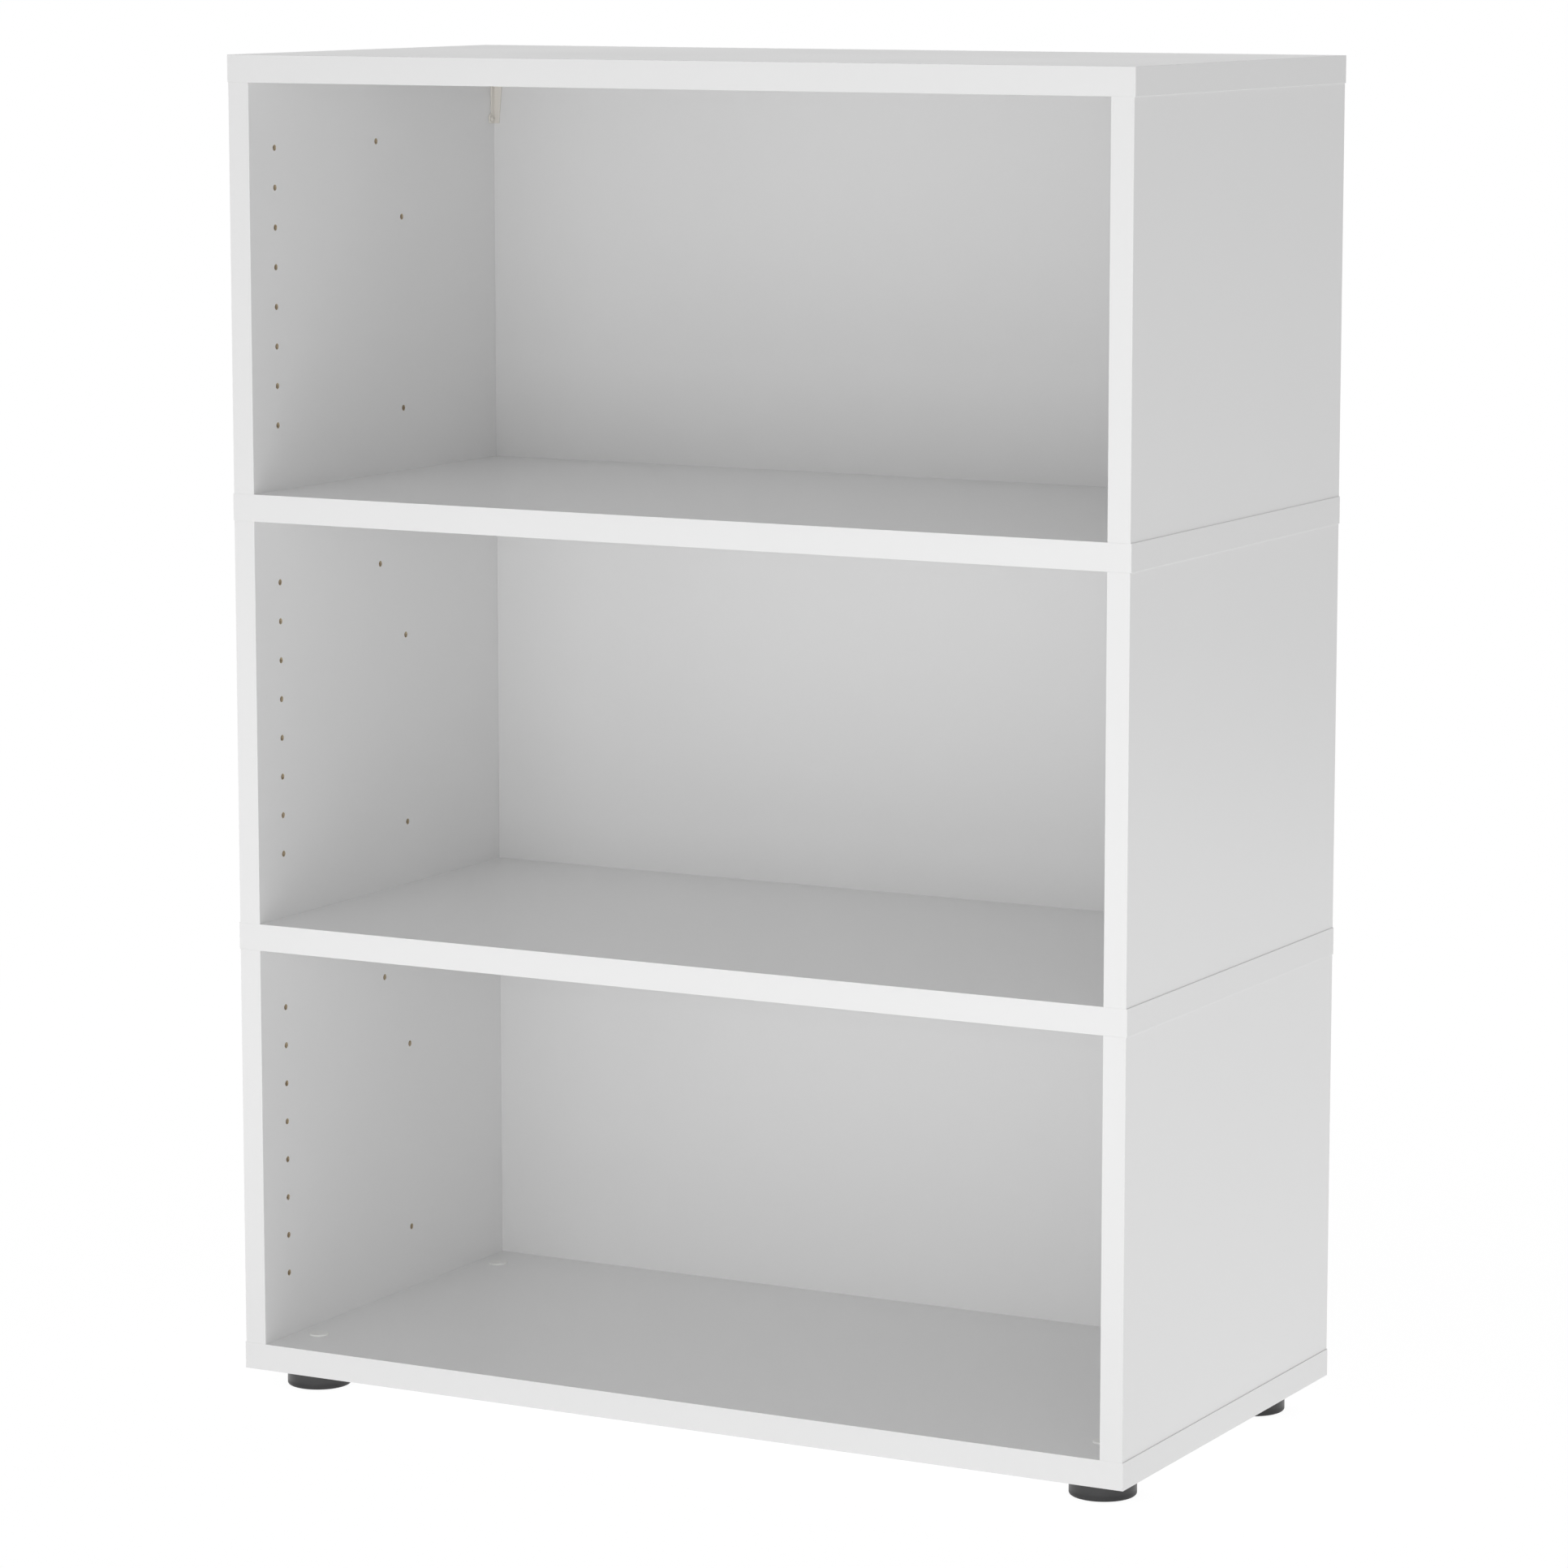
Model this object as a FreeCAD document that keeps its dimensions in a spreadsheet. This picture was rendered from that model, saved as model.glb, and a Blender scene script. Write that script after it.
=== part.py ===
import FreeCAD, Part
import os
import Sketcher

# Open bookcase of three equal compartments, in millimetres.
# Four full-width boards carry six side panels that stand between them, one pair to each compartment.
# Glued dowels join boards and sides, a thin back panel sits in grooves in each compartment, and the
# bottom board stands on four screw feet that are turned from above, under push-in caps.
# Frame: X across the width, Y from the open front to the rear, Z up from the floor, origin on the floor
# under the middle of the boards.

SIZES = [
    ("width", 798, "length of each board, over its edge bands"),
    ("depth", 400, "depth of boards and side panels, over their edge bands"),
    ("board_thickness", 22, "thickness of each board"),
    ("side_height", 330, "height of each side panel, which is the clear height of a compartment"),
    ("side_thickness", 19, "thickness of each side panel"),
    ("side_inset", 0.8, "side panel's outer face in from the boards' ends"),
    ("band_thickness", 1, "thickness of the plastic edge bands"),
    ("band_round", 0.2, "rounding along the edge bands"),
    ("back_thickness", 3, "thickness of the back panels"),
    ("back_inset", 20.6, "front face of the back panels from the rear of the boards"),
    ("back_gap", 0.1, "air on each face of a back panel in its groove"),
    ("back_end_gap", 0.5, "air between a back panel's edge and the bottom of its groove"),
    ("side_groove_depth", 8, "depth of the back panel's groove in the side panels"),
    ("board_groove_depth", 6, "depth of the back panel's grooves in the boards"),
    ("pin_hole_radius", 2.5, "radius of the shelf pin and runner holes"),
    ("pin_hole_depth", 12, "depth of the shelf pin and runner holes"),
    ("pin_hole_pitch", 32, "spacing of the shelf pin holes in a column"),
    ("pin_hole_count", 8, "shelf pin holes in a column"),
    ("pin_hole_drop", 53, "topmost pin hole from the top end of a side panel"),
    ("pin_hole_setback", 37, "front column of pin holes from the front"),
    ("runner_hole_spread", 192, "rear runner holes behind the front column"),
    ("runner_hole_step", 2, "upper runner hole, counted in pitches down from the topmost pin hole"),
    ("stay_hole_spread", 153, "stay hole behind the topmost pin hole"),
    ("dowel_radius", 4, "radius of the dowels"),
    ("dowel_gap", 0.05, "glue gap round a dowel"),
    ("dowel_end_gap", 1, "air left beyond each end of a dowel"),
    ("dowel_grip", 24, "length of a dowel held in the end of a side panel"),
    ("dowel_board_grip", 14, "length of a dowel held in the top or the bottom board"),
    ("dowel_chamfer", 1, "chamfer at a dowel's ends"),
    ("dowel_front_offset", 50, "first dowel from the front"),
    ("dowel_rear_offset", 62, "last dowel from the rear"),
    ("dowel_count", 4, "dowels in each joint"),
    ("foot_reach", 19, "underside of the bottom board above the floor"),
    ("foot_side_offset", 40, "foot's centre from the end of the bottom board"),
    ("foot_front_offset", 50, "front foot's centre from the front"),
    ("foot_rear_offset", 62, "rear foot's centre from the rear"),
    ("pad_radius", 26.5, "radius of a foot's pad"),
    ("pad_gap", 0.3, "air between a pad's rim and the bottom board"),
    ("pad_floor", 4, "thickness of a pad's floor"),
    ("pad_wall", 2.5, "thickness of a pad's rim"),
    ("pad_edge_round", 1.9, "rounding under a pad's rim"),
    ("hub_radius", 11, "radius of the hub inside a pad"),
    ("hub_height", 15, "top of the hub above the floor"),
    ("rib_thickness", 2, "thickness of a pad's ribs"),
    ("rib_height", 13, "top of the ribs above the floor"),
    ("rib_count", 8, "ribs between hub and rim"),
    ("thread_radius", 5, "radius of the threaded bore in a sleeve"),
    ("thread_gap", 0.05, "running clearance of a spindle in its sleeve and its hub"),
    ("head_radius", 7.5, "radius of a spindle's foot, held in its pad"),
    ("head_thickness", 4, "thickness of a spindle's foot"),
    ("head_gap", 0.1, "clearance round a spindle's foot"),
    ("head_end_gap", 0.3, "clearance below and above a spindle's foot"),
    ("spindle_chamfer", 1, "chamfer at both ends of a spindle"),
    ("spindle_rise", 0.5, "spindle's top above its sleeve when the foot is screwed right in"),
    ("key_flats", 5, "width across the flats of the key socket in a spindle's top"),
    ("key_depth", 6, "depth of the key socket"),
    ("sleeve_radius", 6, "radius of a threaded sleeve"),
    ("sleeve_gap", 0.05, "gap between a sleeve and its hole"),
    ("sleeve_length", 16, "length of a sleeve inside the bottom board"),
    ("flange_radius", 9, "radius of a sleeve's flange"),
    ("flange_thickness", 1.5, "thickness of a sleeve's flange"),
    ("cap_radius", 8.3, "radius of a foot's cap"),
    ("cap_thickness", 1.2, "thickness of a cap"),
    ("cap_round", 0.8, "rounding round the top of a cap"),
    ("cap_stem_gap", 0.1, "clearance between a cap's stem and its hole"),
    ("cap_stem_wall", 1.4, "wall of a cap's hollow stem"),
    ("cap_stem_length", 4, "length of a cap's stem"),
    ("cap_slot_width", 1.6, "width of the slots in a cap's stem"),
    ("bracket_length", 44, "drop of a corner bracket below the top board"),
    ("bracket_thickness", 1.5, "thickness of a bracket's plate and flange"),
    ("bracket_top_width", 9.6, "width of a bracket's plate at the top board"),
    ("bracket_foot_width", 5.6, "width of a bracket's plate at its foot"),
    ("flange_reach", 5.5, "reach of a bracket's flange along the side panel"),
    ("ear_reach", 9, "reach of a bracket's ear, where its flange widens for the screw"),
    ("ear_height", 8.5, "height of a bracket's ear"),
    ("ear_round", 3, "rounding of an ear's free corners"),
    ("tongue_width", 12, "width of a bracket's tongue under the top board"),
    ("tongue_reach", 16, "reach of a bracket's tongue from the back panel"),
    ("tongue_thickness", 2, "thickness of a bracket's tongue"),
    ("screw_radius", 1.5, "radius of a bracket screw"),
    ("screw_length", 12, "length of a bracket screw under its head"),
    ("screw_point", 2.5, "length of a bracket screw's point"),
    ("screw_head_radius", 2.2, "radius of a bracket screw's head"),
    ("screw_head_height", 1.6, "height of a bracket screw's head"),
    ("screw_head_round", 1.1, "rounding of a bracket screw's head"),
    ("screw_gap", 0.05, "gap round a bracket screw"),
    ("ear_screw_reach", 5.4, "ear's screw from the back panel"),
    ("ear_screw_rise", 4, "ear's screw above the bracket's foot"),
    ("tongue_screw_reach", 11, "tongue's screw from the back panel"),
]

document = FreeCAD.newDocument("bookcase")
sheet = document.addObject("Spreadsheet::Sheet", "Size")
for line, (alias, value, meaning) in enumerate(SIZES, start=1):
    sheet.set(f"A{line}", meaning)
    sheet.set(f"B{line}", str(value))
    sheet.setAlias(f"B{line}", alias)
document.recompute()

# Places that several pieces share.
HALF_WIDTH = "Size.width / 2"
HALF_DEPTH = "Size.depth / 2"
CORE_X = "(Size.width / 2 - Size.band_thickness)"
CORE_Y = "(Size.depth / 2 - Size.band_thickness)"
INNER_X = "(Size.width / 2 - Size.side_inset - Size.side_thickness)"
LEVEL_PITCH = "(Size.board_thickness + Size.side_height)"
BACK_Y = "(Size.depth / 2 - Size.back_inset)"
GROOVE_FRONT = f"({BACK_Y} - Size.back_gap)"
GROOVE_REAR = f"({BACK_Y} + Size.back_thickness + Size.back_gap)"
DOWEL_X = "(Size.width / 2 - Size.side_inset - Size.side_thickness / 2)"
DOWEL_Y = "(Size.dowel_front_offset - Size.depth / 2)"
DOWEL_ROW = "(Size.depth - Size.dowel_front_offset - Size.dowel_rear_offset)"
DOWEL_SPACING = f"({DOWEL_ROW} / (Size.dowel_count - 1))"
DOWEL_HOLE = "(Size.dowel_radius + Size.dowel_gap)"
FOOT_X = "(Size.width / 2 - Size.foot_side_offset)"
FOOT_FRONT_Y = "(Size.foot_front_offset - Size.depth / 2)"
FOOT_REAR_Y = "(Size.depth / 2 - Size.foot_rear_offset)"
FOOT_HOLE = "(Size.sleeve_radius + Size.sleeve_gap)"
PILOT_HOLE = "(Size.screw_radius + Size.screw_gap)"
TONGUE_SCREW_X = "(Size.tongue_width / 2)"
EAR_SCREW_DROP = "(Size.bracket_length - Size.ear_screw_rise)"

LEVELS = ("lower", "middle", "upper")
BOARDS = ("bottom_board", "lower_shelf_board", "upper_shelf_board", "top_board")
HANDS = (("left", -1), ("right", 1))
TINY = 1e-6


def number(size):
    """The value of an expression on the sheet."""
    return float(sheet.evalExpression(size))


def new_body(label, several=False):
    """An empty body for one sub-part, which may hold several equal solids."""
    body = document.addObject("PartDesign::Body", label)
    body.Label = label
    body.AllowCompound = several
    return body


def of_origin(body, role):
    """A plane or axis of the body's own origin."""
    return next(item for item in body.Origin.OriginFeatures if item.Role == role)


def new_sketch(body, name, plane, offset=None):
    """A sketch on one of the body's origin planes, moved out along the plane's normal by the offset."""
    sketch = body.newObject("Sketcher::SketchObject", name)
    sketch.AttachmentSupport = (of_origin(body, plane), [""])
    sketch.MapMode = "FlatFace"
    if offset:
        sketch.setExpression("AttachmentOffset.Base.z", offset)
    return sketch


def hold(sketch, geometry, point, across, up):
    """Hold a point of a sketch at signed distances across and up from the sketch's origin."""
    for kind, axis, size in (("DistanceX", -2, across), ("DistanceY", -1, up)):
        distance = number(size)
        if abs(distance) < TINY:
            sketch.addConstraint(Sketcher.Constraint("PointOnObject", geometry, point, axis))
            continue
        ends = (-1, 1, geometry, point) if distance > 0 else (geometry, point, -1, 1)
        index = sketch.addConstraint(Sketcher.Constraint(kind, *ends, abs(distance)))
        sketch.setExpression(f"Constraints[{index}]", size if distance > 0 else f"-({size})")


def outline(sketch, corners):
    """A closed outline of straight sides through corners given across and up."""
    points = [FreeCAD.Vector(number(across), number(up), 0) for across, up in corners]
    first = sketch.GeometryCount
    for start, end in zip(points, points[1:] + points[:1]):
        sketch.addGeometry(Part.LineSegment(start, end))
    for side, corner in enumerate(corners):
        before = first + (side - 1) % len(corners)
        sketch.addConstraint(Sketcher.Constraint("Coincident", before, 2, first + side, 1))
        hold(sketch, first + side, 1, *corner)


def rectangle(sketch, left, right, low, high):
    """A closed rectangle between two places across and two places up."""
    outline(sketch, [(left, low), (right, low), (right, high), (left, high)])


def circle(sketch, across, up, radius):
    """A circle at a place across and up."""
    centre = FreeCAD.Vector(number(across), number(up), 0)
    geometry = sketch.addGeometry(Part.Circle(centre, FreeCAD.Vector(0, 0, 1), number(radius)))
    hold(sketch, geometry, 3, across, up)
    index = sketch.addConstraint(Sketcher.Constraint("Radius", geometry, number(radius)))
    sketch.setExpression(f"Constraints[{index}]", radius)


def pad(body, name, sketch, length, reverse=False):
    """A pad along the sketch's normal, or against it when reversed."""
    feature = body.newObject("PartDesign::Pad", name)
    feature.Profile = sketch
    feature.Reversed = reverse
    feature.setExpression("Length", length)
    document.recompute()
    return feature


def pocket(body, name, sketch, length, along_normal=False):
    """A pocket against the sketch's normal, or along it, which has to take something away."""
    before = body.Shape.Volume
    feature = body.newObject("PartDesign::Pocket", name)
    feature.Profile = sketch
    feature.Reversed = along_normal
    feature.setExpression("Length", length)
    document.recompute()
    if feature.Shape.Volume > before - TINY:
        raise RuntimeError(f"{body.Label}: {name} cuts nothing")
    return feature


def revolve(body, name, sketch):
    """A full turn of a sketch about its vertical axis."""
    feature = body.newObject("PartDesign::Revolution", name)
    feature.Profile = sketch
    feature.ReferenceAxis = (sketch, ["V_Axis"])
    feature.Angle = 360
    document.recompute()
    return feature


def round_edges(body, name, base, radius, wanted):
    """A fillet along the edges of the base feature that are wanted."""
    edges = [f"Edge{i}" for i, edge in enumerate(base.Shape.Edges, start=1) if wanted(edge.BoundBox)]
    feature = body.newObject("PartDesign::Fillet", name)
    feature.Base = (base, edges)
    feature.setExpression("Radius", radius)
    document.recompute()
    return feature


def in_a_row(body, name, axis, count, spacing):
    """Copies at an even spacing along one of the body's axes."""
    row = body.newObject("PartDesign::LinearPattern", name)
    row.Direction = (of_origin(body, axis), [""])
    row.Mode = "Spacing"
    row.setExpression("Offset", spacing)
    row.setExpression("Occurrences", count)
    return row


def across_the_middle(body, name, plane):
    """A mirror copy across one of the body's planes."""
    mirror = body.newObject("PartDesign::Mirrored", name)
    mirror.MirrorPlane = (of_origin(body, plane), [""])
    return mirror


def repeat(body, name, feature, steps):
    """Repeat a feature by the given rows and mirrors, and end the body there."""
    pattern = body.newObject("PartDesign::MultiTransform", name)
    pattern.Originals = [feature]
    pattern.Transformations = steps
    body.Tip = pattern
    document.recompute()


def place(item, across="0", back="0", up="0"):
    """Bind a sub-part's place to the sheet."""
    item.setExpression("Placement.Base.x", across)
    item.setExpression("Placement.Base.y", back)
    item.setExpression("Placement.Base.z", up)
    document.recompute()


def group(label, members):
    """One sub-part made of several separate solids."""
    together = document.addObject("Part::Compound", label)
    together.Label = label
    together.Links = members
    return together


def board_level(index):
    """Height of a board's underside."""
    return f"Size.foot_reach + {index} * {LEVEL_PITCH}"


def side_level(index):
    """Height of a side panel's lower end."""
    return f"{board_level(index)} + Size.board_thickness"


def cut_back_groove(body, name, plane_height, along_normal):
    """The back panel's groove along one face of a board."""
    sketch = new_sketch(body, f"{name}_outline", "XY_Plane", plane_height)
    rectangle(sketch, f"-{CORE_X}", CORE_X, GROOVE_FRONT, GROOVE_REAR)
    pocket(body, name, sketch, "Size.board_groove_depth", along_normal)


def drill_dowel_holes(body, plane_height, depth, along_normal):
    """A board's dowel holes, over both side panels."""
    sketch = new_sketch(body, "dowel_hole_outline", "XY_Plane", plane_height)
    circle(sketch, DOWEL_X, DOWEL_Y, DOWEL_HOLE)
    drilled = pocket(body, "dowel_hole", sketch, depth, along_normal)
    row = in_a_row(body, "dowel_row", "Y_Axis", "Size.dowel_count", DOWEL_SPACING)
    repeat(body, "dowel_holes", drilled, [row, across_the_middle(body, "dowel_mirror", "YZ_Plane")])


def make_board(index):
    """A board's chipboard core: grooves where back panels enter it, dowel holes over the side panels."""
    body = new_body(BOARDS[index])
    is_bottom = index == 0
    is_top = index == len(BOARDS) - 1
    sketch = new_sketch(body, "core_outline", "XY_Plane")
    rectangle(sketch, f"-{CORE_X}", CORE_X, f"-{CORE_Y}", CORE_Y)
    pad(body, "core", sketch, "Size.board_thickness")
    if not is_bottom:
        cut_back_groove(body, "lower_groove", None, True)
    if not is_top:
        cut_back_groove(body, "upper_groove", "Size.board_thickness", False)
    blind = "(Size.dowel_board_grip + Size.dowel_end_gap)"
    if is_top:
        drill_dowel_holes(body, None, blind, True)
        sketch = new_sketch(body, "pilot_outline", "XY_Plane")
        across = f"({INNER_X} - {TONGUE_SCREW_X})"
        circle(sketch, across, f"({BACK_Y} - Size.tongue_screw_reach)", PILOT_HOLE)
        pilot = pocket(body, "pilot_hole", sketch, "Size.screw_length", True)
        repeat(body, "pilot_holes", pilot, [across_the_middle(body, "pilot_mirror", "YZ_Plane")])
    elif is_bottom:
        drill_dowel_holes(body, "Size.board_thickness", blind, False)
        sketch = new_sketch(body, "foot_hole_outline", "XY_Plane")
        circle(sketch, FOOT_X, FOOT_FRONT_Y, FOOT_HOLE)
        circle(sketch, FOOT_X, FOOT_REAR_Y, FOOT_HOLE)
        drilled = pocket(body, "foot_hole", sketch, "Size.board_thickness", True)
        repeat(body, "foot_holes", drilled, [across_the_middle(body, "foot_mirror", "YZ_Plane")])
    else:
        drill_dowel_holes(body, "Size.board_thickness", "Size.board_thickness", False)
    place(body, up=board_level(index))


def make_board_band(index):
    """A board's four edge bands: front and rear over the full width, the end bands between them."""
    front = new_body(f"{BOARDS[index]}_front_strip")
    sketch = new_sketch(front, "strip_outline", "XY_Plane")
    rectangle(sketch, f"-{HALF_WIDTH}", HALF_WIDTH, f"-{HALF_DEPTH}", f"-{CORE_Y}")
    strip = pad(front, "strip", sketch, "Size.board_thickness")
    face = -number(HALF_DEPTH)
    round_edges(front, "rounding", strip, "Size.band_round", lambda box: box.YMax < face + TINY)

    end = new_body(f"{BOARDS[index]}_end_strip")
    sketch = new_sketch(end, "strip_outline", "XY_Plane")
    rectangle(sketch, CORE_X, HALF_WIDTH, f"-{CORE_Y}", CORE_Y)
    strip = pad(end, "strip", sketch, "Size.board_thickness")
    face_x = number(HALF_WIDTH)
    long_edge = number(CORE_Y)
    round_edges(end, "rounding", strip, "Size.band_round",
                lambda box: box.XMin > face_x - TINY and box.YLength > long_edge)

    strips = [front, end]
    for source, normal in ((front, FreeCAD.Vector(0, 1, 0)), (end, FreeCAD.Vector(1, 0, 0))):
        other = document.addObject("Part::Mirroring", f"{source.Label}_opposite")
        other.Source = source
        other.Normal = normal
        strips.append(other)
    place(group(f"{BOARDS[index]}_edge_bands", strips), up=board_level(index))


def make_board_dowels(index):
    """The dowels of a board's two joints; those of a shelf board run through it into both side panels."""
    is_bottom = index == 0
    is_top = index == len(BOARDS) - 1
    low = "-Size.dowel_grip"
    high = "(Size.board_thickness + Size.dowel_grip)"
    if is_bottom:
        low = "(Size.board_thickness - Size.dowel_board_grip)"
    if is_top:
        high = "Size.dowel_board_grip"
    body = new_body(f"{BOARDS[index].removesuffix('_board')}_dowels", several=True)
    sketch = new_sketch(body, "dowel_profile", "XZ_Plane", f"-{DOWEL_Y}")
    sketch.setExpression("AttachmentOffset.Base.x", DOWEL_X)
    narrow = "(Size.dowel_radius - Size.dowel_chamfer)"
    outline(sketch, [
        ("0", low),
        (narrow, low),
        ("Size.dowel_radius", f"({low} + Size.dowel_chamfer)"),
        ("Size.dowel_radius", f"({high} - Size.dowel_chamfer)"),
        (narrow, high),
        ("0", high),
    ])
    dowel = revolve(body, "dowel", sketch)
    row = in_a_row(body, "dowel_row", "Y_Axis", "Size.dowel_count", DOWEL_SPACING)
    repeat(body, "dowels", dowel, [row, across_the_middle(body, "dowel_mirror", "YZ_Plane")])
    place(body, up=board_level(index))


def drill_side_end(body, name, outward, plane_height, along_normal):
    """The row of dowel holes in one end of a side panel."""
    sketch = new_sketch(body, f"{name}_outline", "XY_Plane", plane_height)
    circle(sketch, f"{outward} * Size.side_thickness / 2", DOWEL_Y, DOWEL_HOLE)
    drilled = pocket(body, name, sketch, "(Size.dowel_grip + Size.dowel_end_gap)", along_normal)
    repeat(body, f"{name}s", drilled,
           [in_a_row(body, f"{name}_row", "Y_Axis", "Size.dowel_count", DOWEL_SPACING)])


def make_side(index, hand, outward):
    """A side panel's core, from its inner face outwards: groove, pin holes, runner holes, dowel holes."""
    body = new_body(f"{LEVELS[index]}_{hand}_side")
    to_left = outward < 0
    top_hole = "(Size.side_height - Size.pin_hole_drop)"
    low_hole = f"({top_hole} - (Size.pin_hole_count - 1) * Size.pin_hole_pitch)"
    column = "(Size.pin_hole_setback - Size.depth / 2)"

    sketch = new_sketch(body, "core_outline", "YZ_Plane")
    rectangle(sketch, f"-{CORE_Y}", CORE_Y, "0", "Size.side_height")
    pad(body, "core", sketch, "Size.side_thickness", reverse=to_left)

    sketch = new_sketch(body, "groove_outline", "YZ_Plane")
    rectangle(sketch, GROOVE_FRONT, GROOVE_REAR, "0", "Size.side_height")
    pocket(body, "groove", sketch, "Size.side_groove_depth", along_normal=not to_left)

    sketch = new_sketch(body, "pin_hole_outline", "YZ_Plane")
    circle(sketch, column, low_hole, "Size.pin_hole_radius")
    drilled = pocket(body, "pin_hole", sketch, "Size.pin_hole_depth", along_normal=not to_left)
    repeat(body, "pin_holes", drilled,
           [in_a_row(body, "pin_hole_row", "Z_Axis", "Size.pin_hole_count", "Size.pin_hole_pitch")])

    sketch = new_sketch(body, "rear_hole_outline", "YZ_Plane")
    runner = f"({column} + Size.runner_hole_spread)"
    circle(sketch, runner, low_hole, "Size.pin_hole_radius")
    circle(sketch, runner, f"({top_hole} - Size.runner_hole_step * Size.pin_hole_pitch)",
           "Size.pin_hole_radius")
    circle(sketch, f"({column} + Size.stay_hole_spread)", top_hole, "Size.pin_hole_radius")
    pocket(body, "rear_holes", sketch, "Size.pin_hole_depth", along_normal=not to_left)

    if LEVELS[index] == "upper":
        sketch = new_sketch(body, "pilot_outline", "YZ_Plane")
        circle(sketch, f"({BACK_Y} - Size.ear_screw_reach)", f"(Size.side_height - {EAR_SCREW_DROP})",
               PILOT_HOLE)
        pocket(body, "pilot_hole", sketch, "Size.screw_length", along_normal=not to_left)

    drill_side_end(body, "lower_dowel_hole", outward, None, True)
    drill_side_end(body, "upper_dowel_hole", outward, "Size.side_height", False)
    place(body, f"{outward} * {INNER_X}", up=side_level(index))


def make_side_band(index, hand, outward):
    """A side panel's front and rear edge bands."""
    front = new_body(f"{LEVELS[index]}_{hand}_front_strip")
    sketch = new_sketch(front, "strip_outline", "YZ_Plane")
    rectangle(sketch, f"-{HALF_DEPTH}", f"-{CORE_Y}", "0", "Size.side_height")
    strip = pad(front, "strip", sketch, "Size.side_thickness", reverse=outward < 0)
    face = -number(HALF_DEPTH)
    tall = number("Size.side_height") / 2
    round_edges(front, "rounding", strip, "Size.band_round",
                lambda box: box.YMax < face + TINY and box.ZLength > tall)
    rear = document.addObject("Part::Mirroring", f"{LEVELS[index]}_{hand}_rear_strip")
    rear.Source = front
    rear.Normal = FreeCAD.Vector(0, 1, 0)
    bands = group(f"{LEVELS[index]}_{hand}_side_edge_bands", [front, rear])
    place(bands, f"{outward} * {INNER_X}", up=side_level(index))


def make_back(index):
    """A thin back panel, held in the grooves of its side panels and boards."""
    body = new_body(f"{LEVELS[index]}_back_panel")
    sketch = new_sketch(body, "panel_outline", "XZ_Plane")
    reach = f"({INNER_X} + Size.side_groove_depth - Size.back_end_gap)"
    bite = "(Size.board_groove_depth - Size.back_end_gap)"
    rectangle(sketch, f"-{reach}", reach, f"-{bite}", f"(Size.side_height + {bite})")
    pad(body, "panel", sketch, "Size.back_thickness", reverse=True)
    place(body, back=BACK_Y, up=side_level(index))


def make_pad(corner, across, back):
    """A foot's moulded pad: a ribbed cup whose hub snaps over the spindle's foot and lets it turn."""
    body = new_body(f"{corner}_foot_pad")
    rim = "(Size.foot_reach - Size.pad_gap)"
    inner = "(Size.pad_radius - Size.pad_wall)"
    chamber = "(Size.head_radius + Size.head_gap)"
    chamber_top = "(Size.pad_floor + Size.head_thickness + 2 * Size.head_end_gap)"
    sketch = new_sketch(body, "cup_profile", "XZ_Plane")
    outline(sketch, [
        ("0", "0"),
        ("Size.pad_radius", "0"),
        ("Size.pad_radius", rim),
        (inner, rim),
        (inner, "Size.pad_floor"),
        ("Size.hub_radius", "Size.pad_floor"),
        ("Size.hub_radius", "Size.hub_height"),
        ("Size.thread_radius", "Size.hub_height"),
        ("Size.thread_radius", chamber_top),
        (chamber, chamber_top),
        (chamber, "Size.pad_floor"),
        ("0", "Size.pad_floor"),
    ])
    cup = revolve(body, "cup", sketch)
    round_edges(body, "rounding", cup, "Size.pad_edge_round",
                lambda box: box.ZMax < TINY and box.XLength > number(inner))
    sketch = new_sketch(body, "rib_outline", "XZ_Plane", "-Size.rib_thickness / 2")
    rectangle(sketch, "(Size.hub_radius - Size.pad_wall / 2)", "(Size.pad_radius - Size.pad_wall / 2)",
              "Size.pad_floor", "Size.rib_height")
    rib = pad(body, "rib", sketch, "Size.rib_thickness")
    ribs = body.newObject("PartDesign::PolarPattern", "ribs")
    ribs.Originals = [rib]
    ribs.Axis = (of_origin(body, "Z_Axis"), [""])
    ribs.Angle = 360
    ribs.setExpression("Occurrences", "Size.rib_count")
    body.Tip = ribs
    place(body, across, back)


def make_spindle(corner, across, back):
    """A foot's screw spindle, with a broad foot that turns in the pad and a key socket in its top."""
    body = new_body(f"{corner}_foot_spindle")
    low = "(Size.pad_floor + Size.head_end_gap)"
    shoulder = f"({low} + Size.head_thickness)"
    top = "(Size.foot_reach + Size.sleeve_length + Size.spindle_rise)"
    shank = "(Size.thread_radius - Size.thread_gap)"
    sketch = new_sketch(body, "spindle_profile", "XZ_Plane")
    outline(sketch, [
        ("0", low),
        ("(Size.head_radius - Size.spindle_chamfer)", low),
        ("Size.head_radius", f"({low} + Size.spindle_chamfer)"),
        ("Size.head_radius", shoulder),
        (shank, shoulder),
        (shank, f"({top} - Size.spindle_chamfer)"),
        (f"({shank} - Size.spindle_chamfer)", top),
        ("0", top),
    ])
    revolve(body, "spindle", sketch)
    sketch = new_sketch(body, "key_outline", "XY_Plane", top)
    corner_radius = "Size.key_flats / sqrt(3)"
    outline(sketch, [
        (f"({corner_radius} * cos({angle} deg))", f"({corner_radius} * sin({angle} deg))")
        for angle in range(0, 360, 60)
    ])
    pocket(body, "key_socket", sketch, "Size.key_depth")
    place(body, across, back)


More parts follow.
